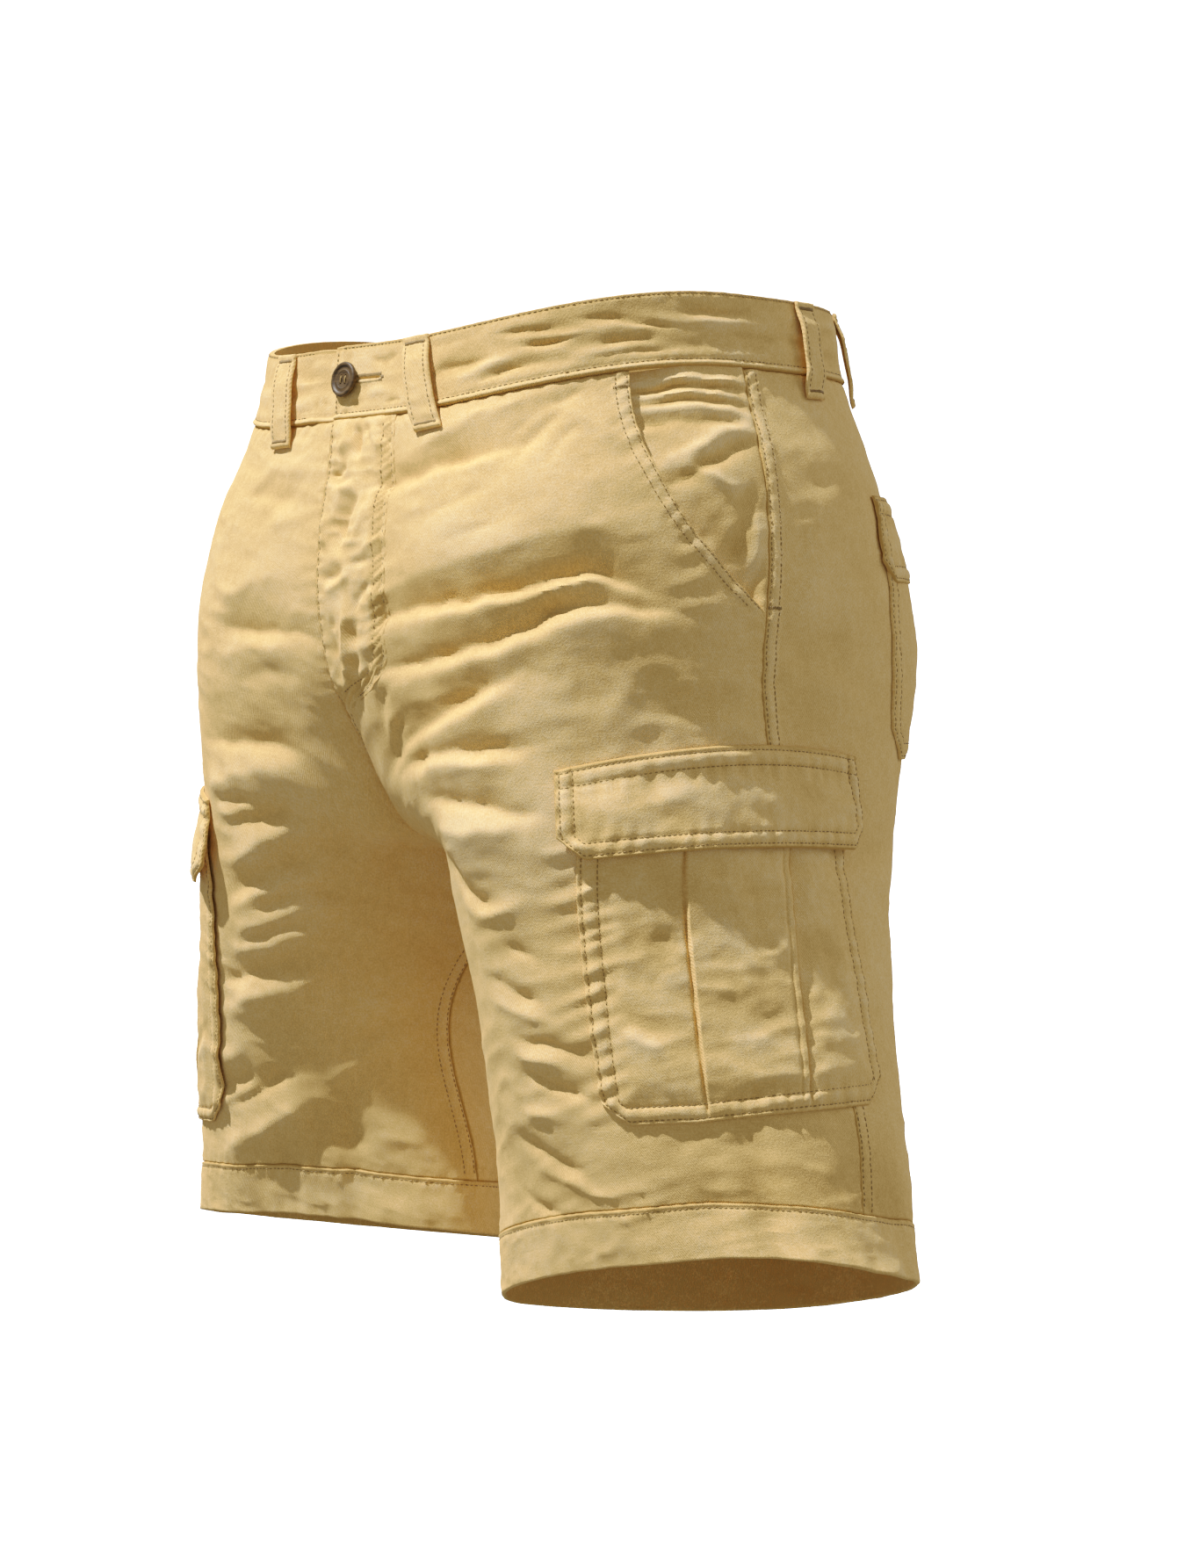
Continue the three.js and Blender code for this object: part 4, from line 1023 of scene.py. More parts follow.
def noise(tree, place, scale, detail, rough=0.5, flat=False):
    """The strength of a noise pattern."""
    settings = {"noise_dimensions": "2D" if flat else "3D"}
    inputs = {"Vector": place, "Scale": scale, "Detail": detail, "Roughness": rough}
    return add_node(tree, "ShaderNodeTexNoise", settings, inputs).outputs["Fac"]


def ramp(tree, strength, *stops):
    """Colours picked by a strength. The stops are (position, colour), the lowest and the highest first."""
    node = add_node(tree, "ShaderNodeValToRGB", None, {"Fac": strength})
    elements = node.color_ramp.elements
    for k, (position, colour) in enumerate(stops):
        stop = elements[k] if k < 2 else elements.new(position)
        stop.position = position
        stop.color = colour
    return node.outputs["Color"]


def raised(tree, strength, distance, height):
    """The surface as if it rose by a height."""
    inputs = {"Strength": strength, "Distance": distance, "Height": height}
    return add_node(tree, "ShaderNodeBump", None, inputs).outputs["Normal"]


def object_place(tree):
    """A place on an object, in metres."""
    return add_node(tree, "ShaderNodeTexCoord").outputs["Object"]


def twill_material(name, colour, worn_colour, deep_dye_and_shade_colour, pitch):
    """Cotton twill, piece-dyed and washed: matte, a fine slanting rib, paler where it has rubbed, with
    painted shade along seams and in creases.
    """
    material, tree = new_material(name)
    uv = add_node(tree, "ShaderNodeUVMap", {"uv_map": "cloth"}).outputs["UV"]
    millimetres = add_node(tree, "ShaderNodeVectorMath", {"operation": "SCALE"}, {0: uv, "Scale": 1000.0})
    place = millimetres.outputs["Vector"]
    # The rib, 63 degrees from the cross threads. It is drawn at twice its real pitch of 0.5 mm, to show.
    slant = add_node(tree, "ShaderNodeVectorMath", {"operation": "DOT_PRODUCT"},
                     {0: place, 1: (0.89 / pitch, 0.45 / pitch, 0)})
    rib = maths(tree, "SINE", maths(tree, "MULTIPLY", slant.outputs["Value"], math.tau))
    slub = noise(tree, place, 0.9, 3.0, 0.65, flat=True)
    mottle = noise(tree, place, 0.22, 4.0, 0.65, flat=True)
    cloud = noise(tree, place, 0.022, 2.0, flat=True)
    # The worn attribute carries rubbed paleness and painted shade along seams and in creases; the ramp turns
    # that shade towards the darkest colour.
    worn = add_node(tree, "ShaderNodeAttribute", {"attribute_name": "worn"}).outputs["Fac"]
    for pattern, share in ((mottle, 0.4), (cloud, 0.3), (slub, 0.7)):
        worn = maths(tree, "MULTIPLY_ADD", pattern, share, worn)
    weave = maths(tree, "MULTIPLY_ADD", rib, 0.25, slub)
    finish_material(tree, {
        "Base Color": ramp(tree, worn, (0.3, deep_dye_and_shade_colour), (1.0, worn_colour), (0.7, colour)),
        "Roughness": maths(tree, "MULTIPLY_ADD", mottle, -0.1, 0.95),
        "Normal": raised(tree, 0.55, 0.00035, weave),
        "Specular IOR Level": 0.12, "Sheen Weight": 0.1, "Sheen Roughness": 0.6, "Sheen Tint": worn_colour,
    })
    return material


def thread_material(name, colour):
    """Spun polyester sewing thread: fine twisted fibres, a little glossier than the cloth."""
    material, tree = new_material(name)
    twist = noise(tree, object_place(tree), 2500.0, 2.0)
    shaded = [c * 0.7 for c in colour[:3]] + [1]
    finish_material(tree, {
        "Base Color": ramp(tree, twist, (0, shaded), (1, colour)), "Roughness": 0.62,
        "Normal": raised(tree, 0.4, 0.0001, twist), "Specular IOR Level": 0.35, "Sheen Weight": 0.1,
    })
    return material


def button_material(name, colour, pale_colour):
    """Cast polyester button made to look like horn: satin, with streaks of two browns."""
    material, tree = new_material(name)
    inputs = {"Vector": object_place(tree), "Scale": (160, 160, 700)}
    streak = noise(tree, add_node(tree, "ShaderNodeMapping", None, inputs).outputs["Vector"], 1.0, 3.0)
    finish_material(tree, {
        "Base Color": ramp(tree, streak, (0.35, colour), (0.75, pale_colour)),
        "Roughness": maths(tree, "MULTIPLY_ADD", streak, 0.2, 0.42), "Specular IOR Level": 0.35,
    })
    return material


def paper_material(name, colour):
    """Seamless background paper: plain, matte and even."""
    material, tree = new_material(name)
    grain = noise(tree, object_place(tree), 300.0, 2.0)
    finish_material(tree, {
        "Base Color": colour, "Roughness": 0.95, "Normal": raised(tree, 0.05, 0.0002, grain),
        "Specular IOR Level": 0.1, "Emission Color": colour, "Emission Strength": 2.0,
    })
    return material


def material(key):
    """One of the shorts' materials, made when it is first asked for."""
    colours = bpy.context.scene.shorts_colours
    pitch = bpy.context.scene.shorts_sizes.rib_pitch * 1000
    name, make, *values = {
        "cloth": ("Washed cotton twill", twill_material, colours.cloth, colours.worn, colours.deep_dye_and_shade, pitch),
        # Inside faces: the same twill, darker as painted shade.
        "under": ("Cotton twill, wrong side", twill_material, colours.under, colours.cloth, colours.deep_dye_and_shade,
                  pitch),
        "thread": ("Sewing thread", thread_material, list(colours.thread)),
        "button": ("Horn-look polyester", button_material, colours.button, colours.button_pale),
        "paper": ("Background paper", paper_material, colours.paper),
    }[key]
    return bpy.data.materials.get(name) or make(name, *values)


def grid_faces(rows, columns, ring, start=0):
    """The quads of a grid of points."""
    i = np.arange(rows - 1)[:, None]
    j = np.arange(columns if ring else columns - 1)[None, :]
    k = (j + 1) % columns
    corners = (i * columns + j, (i + 1) * columns + j, (i + 1) * columns + k, i * columns + k)
    return np.stack([np.broadcast_to(c, (rows - 1, j.shape[1])) for c in corners], -1).reshape(-1, 4) + start


def rim_faces(rows, columns, ring):
    """The quads that join two grids of points round their edges."""
    far = rows * columns
    i = np.arange(rows - 1)
    j = np.arange(columns if ring else columns - 1)
    k = (j + 1) % columns
    last = (rows - 1) * columns
    faces = [np.stack((j, k, k + far, j + far), -1),
             np.stack((last + j, last + j + far, last + k + far, last + k), -1)]
    if not ring:
        a, b = i * columns, (i + 1) * columns
        faces.append(np.stack((a, a + far, b + far, b), -1))
        a, b = a + columns - 1, b + columns - 1
        faces.append(np.stack((a, b, b + far, a + far), -1))
    return np.concatenate(faces)


def cloth_piece(name, outside, inside, across, down, worn, ring=False, faces_in="under"):
    """A closed wall of cloth between two grids of points, with its UV map in metres, and its wear and painted
    shade as the worn attribute. Its inside faces take the faces_in material, by default the darker inside
    colour, which paints shade.
    """
    rows, columns = outside.shape[:2]
    points = np.concatenate((outside.reshape(-1, 3), inside.reshape(-1, 3))) / 1000
    front = grid_faces(rows, columns, ring)
    behind = grid_faces(rows, columns, ring, rows * columns)[:, ::-1]
    rim = rim_faces(rows, columns, ring)
    faces = np.concatenate((front, behind, rim))
    a, b, c = points[faces[:, 0]], points[faces[:, 1]], points[faces[:, 2]]
    d = points[faces[:, 3]]
    volume = (np.einsum("ij,ij->i", a, np.cross(b, c)) + np.einsum("ij,ij->i", a, np.cross(c, d))).sum()
    if volume < 0:
        faces = faces[:, ::-1]
    mesh = bpy.data.meshes.new(name)
    mesh.from_pydata(points.tolist(), [], faces.tolist())
    mesh.materials.append(material("cloth"))
    mesh.materials.append(material(faces_in))
    slots = np.zeros(len(faces), int)
    slots[len(front):len(front) + len(behind)] = 1
    mesh.polygons.foreach_set("material_index", slots)
    corner = np.empty(len(mesh.loops), int)
    mesh.loops.foreach_get("vertex_index", corner)
    across, down = np.broadcast_arrays(across, down)
    flat = np.tile(np.stack((across.ravel(), -down.ravel()), 1), (2, 1)) / 1000
    uv = mesh.uv_layers.new(name="cloth")
    if ring:
        flat = flat[corner].reshape(-1, 4, 2)
        wide = flat[..., 0].max(1) - flat[..., 0].min(1) > 0.1
        high = flat[..., 0].max(1, keepdims=True)
        pulled = np.where(flat[..., 0] < high - 0.1, high + 0.002, flat[..., 0])
        flat[..., 0] = np.where(wide[:, None], pulled, flat[..., 0])
        uv.data.foreach_set("uv", flat.reshape(-1))
    else:
        uv.data.foreach_set("uv", flat[corner].reshape(-1))
    # The worn attribute holds rubbed paleness and painted shade on the outside, and nothing on the inside.
    wear = mesh.attributes.new("worn", "FLOAT", "POINT")
    worn = np.broadcast_to(worn, outside.shape[:2])
    wear.data.foreach_set("value", np.concatenate((worn.ravel(), np.zeros(rows * columns))))
    return add_piece(name, mesh)


def place_object(name, data):
    """An object at the origin, in the scene."""
    placed = bpy.data.objects.new(name, data)
    bpy.context.scene.collection.objects.link(placed)
    return placed


def mesh_of(shape, name):
    """A finished mesh from one in the making."""
    mesh = bpy.data.meshes.new(name)
    shape.to_mesh(mesh)
    shape.free()
    return mesh


def modified_mesh(carrier):
    """A plain mesh of what an object's modifiers make."""
    bpy.context.view_layer.update()
    return bpy.data.meshes.new_from_object(carrier.evaluated_get(bpy.context.evaluated_depsgraph_get()))


def add_piece(name, mesh):
    """An object at the origin for a finished mesh, shaded smooth but for its sharp edges."""
    mesh.polygons.foreach_set("use_smooth", [True] * len(mesh.polygons))
    mesh.validate()
    mesh.update()
    mesh.set_sharp_from_angle(angle=math.radians(50))
    return place_object(name, mesh)


def settle(piece, nodes, slot, flat=None, area=None, held="hung", rests_on=()):
    """Hangs a piece under the root body and hides the nodes it stands for. Its finish, its cut, how it is
    held and what it rests on are not used.
    """
    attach(piece, "root")
    if nodes:
        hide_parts(*nodes)


def wear_and_painted_shade(detail, scale=0.16):
    """Paler on what stands proud, as rubbed cloth, and darker where a seam or a crease pulls the cloth in:
    painted shade.
    """
    return np.clip(detail * scale, -0.22, 0.22)


def painted_seam_shade(distance):
    """Darker along a seam or an edge: painted shade."""
    return -0.45 * bump(distance, 0.9)


def length_setting(name, description, default, low, high):
    """A small length that a user can change, in metres."""
    return bpy.props.FloatProperty(
        name=name, description=description, default=default, min=low, max=high, precision=4, unit="LENGTH")


def colour_setting(name, description, hex_colour):
    """A colour that a user can change."""
    return bpy.props.FloatVectorProperty(
        name=name, description=description, subtype="COLOR", size=4, min=0, max=1, default=linear(hex_colour))


def angle_setting(name, description, degrees):
    """An angle that a user can change."""
    return bpy.props.FloatProperty(
        name=name, description=description, default=math.radians(degrees), subtype="ANGLE")


class ShortsSizes(bpy.types.PropertyGroup):
    """Sizes that can be changed without changing the cut."""
    rib_pitch: length_setting("Rib pitch", "From one slanting rib of the twill to the next, as drawn",
                              0.001, 0.0003, 0.003)
    stitch_pitch: length_setting("Stitch pitch", "From one stitch to the next in a seam",
                                 0.0028, 0.0015, 0.006)
    stitch_length: length_setting("Stitch length", "The part of each stitch that shows", 0.0022, 0.001, 0.005)
    thread_width: length_setting("Thread width", "Across the sewing thread", 0.0007, 0.0003, 0.0015)


class ShortsColours(bpy.types.PropertyGroup):
    """Colours of the cloth, the thread, the button and the background."""
    cloth: colour_setting("Cloth", "Most of the cloth", 0xE4B86F)
    worn: colour_setting("Worn cloth", "Where the dye has rubbed and washed out", 0xF0CD90)
    # The strongest dye, and also the colour of painted shade along seams and in creases.
    deep_dye_and_shade: colour_setting("Deep cloth", "Where the dye is strongest", 0xC29752)
    # The inside colour is the same cloth, darkened as painted shade inside the shorts.
    under: colour_setting("Wrong side", "The inside of the cloth", 0xBE9450)
    # The thread's own colour, darkened as painted shade of the stitch holes.
    thread: colour_setting("Thread", "Sewing thread", 0x98763C)
    button: colour_setting("Button", "The button's darker brown", 0x33230C)
    button_pale: colour_setting("Button streaks", "The button's paler brown", 0x5A4220)
    paper: colour_setting("Background", "Floor and backdrop", 0xFAFAFA)


class ShortsStudio(bpy.types.PropertyGroup):
    """Camera and lights."""
    azimuth: angle_setting("Camera azimuth", "Round from the front towards the wearer's left", 49.8)
    elevation: angle_setting("Camera elevation", "Above the level of what it looks at", 0.65)
    distance: bpy.props.FloatProperty(
        name="Camera distance", description="From what it looks at", default=1.81, min=0.5, unit="LENGTH")
    key_azimuth: angle_setting("Key azimuth", "Round from the front towards the wearer's left", -20)
    key_elevation: angle_setting("Key elevation", "Above the floor", 61)
    key_power: bpy.props.FloatProperty(
        name="Key strength", description="Sun strength of the key light", default=8.0, min=0)
    fill_power: bpy.props.FloatProperty(
        name="Back fill strength", description="Sun strength of the soft light from behind",
        default=0.9, min=0)
    room: bpy.props.FloatProperty(
        name="Room light", description="Strength of the soft light from all round", default=0.37, min=0)


class SHORTS_OT_fronts(bpy.types.Operator):
    """Make the two front panels, from the waist seam to the hem seam"""
    bl_idname = "shorts.fronts"
    bl_label = "Front panels"

    def execute(self, context):
        for side, name in SIDES:
            make_panel(side, name, "front", (0.34, 0.44), 0.112)
        return {"FINISHED"}


class SHORTS_OT_backs(bpy.types.Operator):
    """Make the two back panels, with the seat seam and the felled side seams"""
    bl_idname = "shorts.backs"
    bl_label = "Back panels"

    def execute(self, context):
        for side, name in SIDES:
            make_panel(side, name, "back", (0.42, 0.46), 0.146)
        return {"FINISHED"}


def make_panel(side, name, part, flat, area):
    """One front or back panel, 1.6 mm thick."""
    length = HEM_SEAM_DROP - 2 * ROUND_GAP
    # Rows are closer than columns, because most creases run level
    width, column_pitch, row_pitch = {"front": (285, 2.9, 1.8), "back": (330, 3.6, 2.7)}[part]
    rows = over(spaced(length, row_pitch), ROUND_GAP, HEM_SEAM_DROP - ROUND_GAP)[:, None]
    low, high = panel_edges(side, part, rows)
    across = over(spaced(width, column_pitch), low, high)
    drop = np.broadcast_to(rows, across.shape)
    height = relief(side, across, drop)
    detail = panel_detail(side, part, across, drop)
    point, normal = on_form(side, across, drop)
    outside = keep_side(side, point + normal * (height + detail)[..., None])
    inside = keep_side(side, point + normal * (height - PANEL_WALL)[..., None])
    edge = np.minimum(np.minimum(across - low, high - across), np.minimum(drop, HEM_SEAM_DROP - drop))
    # Paler where the cloth stands proud; painted shade in crease troughs, in seam furrows and along the
    # panel's edges.
    worn = wear_and_painted_shade(detail + 0.25 * height) + painted_seam_shade(edge)
    piece = cloth_piece(f"{part}_panel_{name}", outside, inside, across, drop, worn)
    settle(piece, [f"{part}_{name}"], "cloth", flat, area)


class SHORTS_OT_facings(bpy.types.Operator):
    """Make the cloth that shows inside each slanted front pocket"""
    bl_idname = "shorts.facings"
    bl_label = "Front pocket facings"

    def execute(self, context):
        for side, name in SIDES:
            drop = np.linspace(ROUND_GAP, 138, 92)[:, None]
            seam = side_seam(side, drop) - 2 * SIDE_GAP
            mouth = pocket_mouth(side, drop)
            across = lerp(mouth - 13, seam, np.linspace(0, 1, 52) ** 0.9)
            drop = np.broadcast_to(drop, across.shape)
            shown = smooth((across - mouth - 5) / 32) * (1 - smooth((drop - 96) / 40) * 0.5)
            lift = -(PANEL_WALL + 2.0) * (1 - np.maximum(shown, smooth((across - seam + 9) / 8)))
            fold = smooth((across - mouth + 4) / 10)
            height = fold * facing_folds(side, across, drop) - roll(seam - across, 0.7)
            point, normal = on_form(side, across, drop)
            base = relief(side, across, drop) + lift
            proud = base + np.minimum(height, 1.2 * shown + 0.5)
            outside = keep_side(side, point + normal * proud[..., None])
            inside = keep_side(side, point + normal * (base - 1.2)[..., None])
            # Paler on the fold ridges, with painted shade in the dents between them.
            worn = wear_and_painted_shade(height, 0.3)
            piece = cloth_piece(f"pocket_facing_cloth_{name}", outside, inside, across, drop, worn)
            settle(piece, [f"pocket_facing_{name}"], "facing", (0.085, 0.139), 0.0083, "laid",
                   [f"front_panel_{name}"])
        return {"FINISHED"}


def facing_folds(side, across, drop):
    """Small level folds under the band and soft dents lower down, on a pocket's facing."""
    seam = side_seam(side, drop)
    x = across - seam
    height = np.zeros(x.shape)
    folds = (
        (1.3, 1.6, 2.0, (-90, 8), (-40, 7), (14, 9)),
        (-1.6, 1.6, 1.4, (-90, 11), (-40, 10), (14, 12)),
        (1.1, 1.4, 1.8, (-90, 14), (-40, 14), (-14, 16), (14, 20)),
        (-1.3, 1.6, 1.4, (-90, 18), (-40, 17), (12, 21)),
        (1.2, 1.6, 2.2, (-86, 21), (-40, 21), (-10, 24), (12, 30)),
        (-1.1, 2.4, 3.4, (-84, 27), (-40, 27), (10, 33)),
        (1.4, 3, 5, (-72, 53), (-46, 46), (-26, 36), (-6, 30), (12, 27)),
        (-1.5, 4, 3, (-66, 63), (-40, 52), (-18, 43), (8, 37)),
        (1.0, 3, 3, (-52, 46), (-36, 54), (-22, 61), (-6, 60)),
        (-0.9, 5, 5, (-26, 100), (-14, 80), (-6, 60)),
        (0.8, 4, 4, (-14, 116), (-8, 92), (-5, 64)),
    )
    for rise, above, below, *line in folds:
        height += 1.2 * crease(x, drop, rise, above, below, line)
    return height + 0.35 * wander(x, drop, 8, 700 + side)


class SHORTS_OT_fly(bpy.types.Operator):
    """Make the fly lap with its curved outline over both fronts"""
    bl_idname = "shorts.fly"
    bl_label = "Fly lap"

    def execute(self, context):
        drop = np.linspace(ROUND_GAP, FLY_END, 120)[:, None]
        column = smooth(np.linspace(0, 1, 48)) * 0.5 + np.linspace(0, 1, 48) * 0.5
        offset = lerp(along(FLY, "edge", drop), along(FLY, "width", drop), column)
        drop = np.broadcast_to(drop, offset.shape)
        low, high = fly_lifts(offset, drop)
        centre = ends(1, drop)[0]
        outside = lay(1, centre + offset, drop, high)
        inside = lay(1, centre + offset, drop, low)
        # Paler where the lap stands proud, with painted shade in its stitched furrows and along its open
        # edge.
        worn = wear_and_painted_shade(high - low - 1.3, 0.25) + painted_seam_shade(offset - along(FLY, "edge", drop))
        piece = cloth_piece("fly_lap_cloth", outside, inside, centre + offset, drop, worn, faces_in="cloth")
        settle(piece, ["fly_lap"], "cloth", (0.057, 0.163), 0.0079, "laid", ["front_panel_left"])
        return {"FINISHED"}


class SHORTS_OT_waistband(bpy.types.Operator):
    """Make the waistband, its left end lapped over the right at the front"""
    bl_idname = "shorts.waistband"
    bl_label = "Waistband"

    def execute(self, context):
        drop = over(spaced(BAND_HEIGHT - ROUND_GAP, 1.5), -BAND_HEIGHT, -ROUND_GAP)
        slit = BUTTONHOLE["drop"] + np.array([-1.4, -0.9, -0.5, -0.25, 0, 0.25, 0.5, 0.9, 1.4, 2])
        drop = np.unique(np.concatenate((drop[np.abs(drop - BUTTONHOLE["drop"]) > 2], slit)))[:, None]
        part = (drop + BAND_HEIGHT) / (BAND_HEIGHT - ROUND_GAP)
        front, back = ends(1, drop)
        lap = front - lerp(LAP_TOP, LAP_BOTTOM, part)
        left = over(spaced(500, 3.0), lap, back)
        front_right, back_right = ends(-1, drop)
        right = lerp(back_right, front_right, np.linspace(0, 1, 170)[1:])
        under = front + np.linspace(0, UNDERLAP, 14)[1:]
        blocks = []
        for side, across, kind in ((1, left, "lap"), (-1, right, "right"), (1, under, "under")):
            level = np.broadcast_to(drop, across.shape)
            proud = band_ripples(side, across, level)
            if kind == "lap":
                edge = across - lap
                proud = proud - roll(edge, 1.2) - 0.36 * bump(edge - 3, 0.8)
            dip = 0
            if kind == "right":
                dip = LAP_DIP * (1 - smooth((across - front_right - 10) / 14))
            if kind == "under":
                dip = LAP_DIP
                proud = np.minimum(proud, 0)
            outside = lay(side, across, level, BAND_PROUD + proud - dip)
            inside = lay(side, across, level, BAND_PROUD - BAND_WALL - dip + 0 * across)
            blocks.append((outside, inside, across, proud + 0 * across))
        whole = back + back_right - front_right
        run = np.concatenate((left, back + (back_right - right), whole + under - front), 1)
        outside, inside, _, proud = (np.concatenate(group, 1) for group in zip(*blocks))
        # Paler on the ripples, with painted shade in their troughs, along the band's lower edge and along its
        # top stitch row.
        worn = wear_and_painted_shade(proud, 0.22) + painted_seam_shade(drop + ROUND_GAP) + painted_seam_shade(drop + BAND_HEIGHT - BAND_ROWS[0])
        piece = cloth_piece("waistband_cloth", outside, inside, run, drop, worn)
        settle(piece, ["waistband"], "cloth", (1.06, 0.039), 0.0395)
        return {"FINISHED"}


class SHORTS_OT_cargo_pockets(bpy.types.Operator):
    """Make the cargo pockets, each with a flat stitched edge and a pleat between two folds"""
    bl_idname = "shorts.cargo_pockets"
    bl_label = "Cargo pockets"

    def execute(self, context):
        near = np.array([-9, -7, -5.5, -4.6, -4, -3.2, -2.2, -1.5, -1, -0.6, -0.2,
                         0.2, 0.6, 1, 1.6, 2.6, 4, 6, 9])
        row = np.concatenate((np.linspace(0, 0.9, 104), 1 - (EDGE / 172)[::-1][EDGE[::-1] < 16.9]))
        row = np.unique(row.round(5))[:, None]
        left, right, fold_a, fold_b = cargo_marks(row)
        columns = [left + EDGE, lerp(left + 15, fold_a - 9, np.linspace(0, 1, 16)[1:-1]), fold_a + near,
                   lerp(fold_a + 9, fold_b - 9, np.linspace(0, 1, 28)[1:-1]), fold_b + near,
                   lerp(fold_b + 9, right - 15, np.linspace(0, 1, 15)[1:-1]), right - EDGE[::-1]]
        mark = np.concatenate(columns, 1)
        row = np.broadcast_to(row, mark.shape)
        for side, name in SIDES:
            low, high = cargo_lifts(side, row, mark)
            outside, inside = (cargo_skin(side, row, mark, inside=hidden) for hidden in (False, True))
            # The pocket's colour is paler where it stands full, with painted shade in its pleat grooves,
            # stitch rows and rolled rim.
            piece = cloth_piece(f"cargo_pocket_cloth_{name}", outside, inside, mark,
                                row * cargo_length(row, mark), wear_and_painted_shade(high - low - 1.5, 0.2))
            settle(piece, [f"cargo_pocket_{name}"], "cloth", (0.165, 0.172), 0.0268, "laid",
                   [f"front_panel_{name}", f"back_panel_{name}"])
        return {"FINISHED"}


class SHORTS_OT_flaps(bpy.types.Operator):
    """Make the flaps over the cargo pockets and the back pockets"""
    bl_idname = "shorts.flaps"
    bl_label = "Pocket flaps"

    def execute(self, context):
        for kind, sizes, flat, area in (("cargo", CARGO_FLAP, (0.18, 0.064), 0.0094),
                                        ("back", BACK_FLAP, (0.137, 0.046), 0.0062)):
            row = over(spaced(50, 1.6), 0, 50)[:, None] / 50
            mark = over(spaced(sizes["right"] - sizes["left"], 1.8), sizes["left"], sizes["right"])[None, :]
            row, mark = np.broadcast_arrays(row, mark)
            for side, name in SIDES:
                low, high = flap_lifts(side, sizes, row, mark)
                outside, inside = (flap_skin(side, sizes, row, mark, inside=hidden)
                                   for hidden in (False, True))
                _, _, length, _ = flap_place(side, sizes, row, mark)
                from_end = np.minimum(mark - sizes["left"], sizes["right"] - mark)
                rim = np.minimum(np.minimum(from_end, row * length), (1 - row) * length)
                # Paler where the flap stands proud, with painted shade in its furrows and along its rim.
                worn = wear_and_painted_shade(high - low - 1.8, 0.22) + painted_seam_shade(rim)
                piece = cloth_piece(f"{kind}_flap_cloth_{name}", outside, inside, mark, row * length, worn,
                                    faces_in="cloth")
                settle(piece, [f"{kind}_flap_{name}"], "cloth", flat, area, "laid",
                       [f"{kind}_pocket_cloth_{name}"])
        return {"FINISHED"}


class SHORTS_OT_back_pockets(bpy.types.Operator):
    """Make the patch pockets on the seat"""
    bl_idname = "shorts.back_pockets"
    bl_label = "Back pockets"

    def execute(self, context):
        row = np.concatenate((np.linspace(0, 0.86, 52), 1 - EDGE[::-1] / 112))
        row = np.unique(row.round(5))[:, None]
        across = over(spaced(122, 2.2), BACK_POCKET["left"], BACK_POCKET["right"])[None, :]
        row, across = np.broadcast_arrays(row, across)
        for side, name in SIDES:
            outside, inside = (back_pocket_skin(side, row, across, inside=hidden) for hidden in (False, True))
            piece = cloth_piece(f"back_pocket_cloth_{name}", outside, inside, across,
                                row * back_pocket_length(across), 0.0)
            settle(piece, [f"back_pocket_{name}"], "cloth", (0.122, 0.112), 0.0136, "laid",
                   [f"back_panel_{name}"])
        return {"FINISHED"}


class SHORTS_OT_hems(bpy.types.Operator):
    """Make the turned hem round each leg opening"""
    bl_idname = "shorts.hems"
    bl_label = "Hems"

    def execute(self, context):
        drop = over(spaced(30, 1.6), HEM_SEAM_DROP + ROUND_GAP, HEM_DROP)[:, None]
        turn = np.linspace(-1, 1, 241)[:-1]
        for side, name in SIDES:
            front, back = ends(side, drop)
            across = np.where(turn < 0, -turn * front, turn * back)
            level = np.broadcast_to(drop, across.shape)
            detail = hem_detail(side, across, level)
            outside = lay(side, across, level, BAND_PROUD + detail)
            rolled = roll(HEM_DROP - level, 1.2) + roll(level - HEM_SEAM_DROP - ROUND_GAP, 0.9)
            inside = lay(side, across, level, BAND_PROUD - HEM_WALL + rolled)
            # Paler on the hem's puckers, with painted shade in their hollows and along the hem seam.
            worn = wear_and_painted_shade(detail, 0.25) + painted_seam_shade(level - HEM_SEAM_DROP)
            piece = cloth_piece(f"hem_cloth_{name}", outside, inside, across, level, worn, ring=True)
            settle(piece, [f"hem_{name}"], "cloth", (0.7, 0.031), 0.0212)
        return {"FINISHED"}


class SHORTS_OT_loops(bpy.types.Operator):
    """Make the seven belt loops"""
    bl_idname = "shorts.loops"
    bl_label = "Belt loops"

    def execute(self, context):
        end = np.array([0, 0.006, 0.014, 0.026])
        part = np.concatenate((end, np.linspace(0.045, 0.955, 36), 1 - end[::-1]))
        column = np.array([0, 0.02, 0.05, 0.09, 0.14, 0.19, 0.26, 0.35, 0.45])
        column = np.concatenate((column, 1 - column[::-1]))
        part, column = np.broadcast_arrays(part[:, None], column[None, :])
        for k, place in enumerate(LOOP_PLACES, 1):
            outside, inside = (loop_skin(place, part, column, inside=hidden) for hidden in (False, True))
            piece = cloth_piece(f"belt_loop_cloth_{k}", outside, inside, column * LOOP["width"],
                                part * LOOP_LENGTH, 0.03, faces_in="cloth")
            settle(piece, [f"belt_loop_{k}"], "cloth", (0.017, 0.052), 0.00088, "laid", ["waistband_cloth"])
        return {"FINISHED"}


def button_frame():
    """The button's middle on the waistband, and its facing, right and down directions."""
    across = ends_at(1, BUTTON["drop"])[0] + BUTTON["across"]

    def at(a, d):
        return lay(1, np.array([across + a]), np.array([BUTTON["drop"] + d]), BAND_PROUD)[0]

    r = BUTTON["radius"]
    facing = np.cross(at(0, r) - at(0, -r), at(r, 0) - at(-r, 0))
    facing = Vector(facing).normalized()
    turn = Vector((0, 0, 1)).rotation_difference(facing)
    middle = Vector(at(0, 0)) + facing * BUTTON["off_band"]
    return middle, turn


def turned_ring(shape, radius, height, segments):
    """A ring of points round the Z axis."""
    angles = [math.tau * k / segments for k in range(segments)]
    return [shape.verts.new((radius * math.cos(a), radius * math.sin(a), height)) for a in angles]


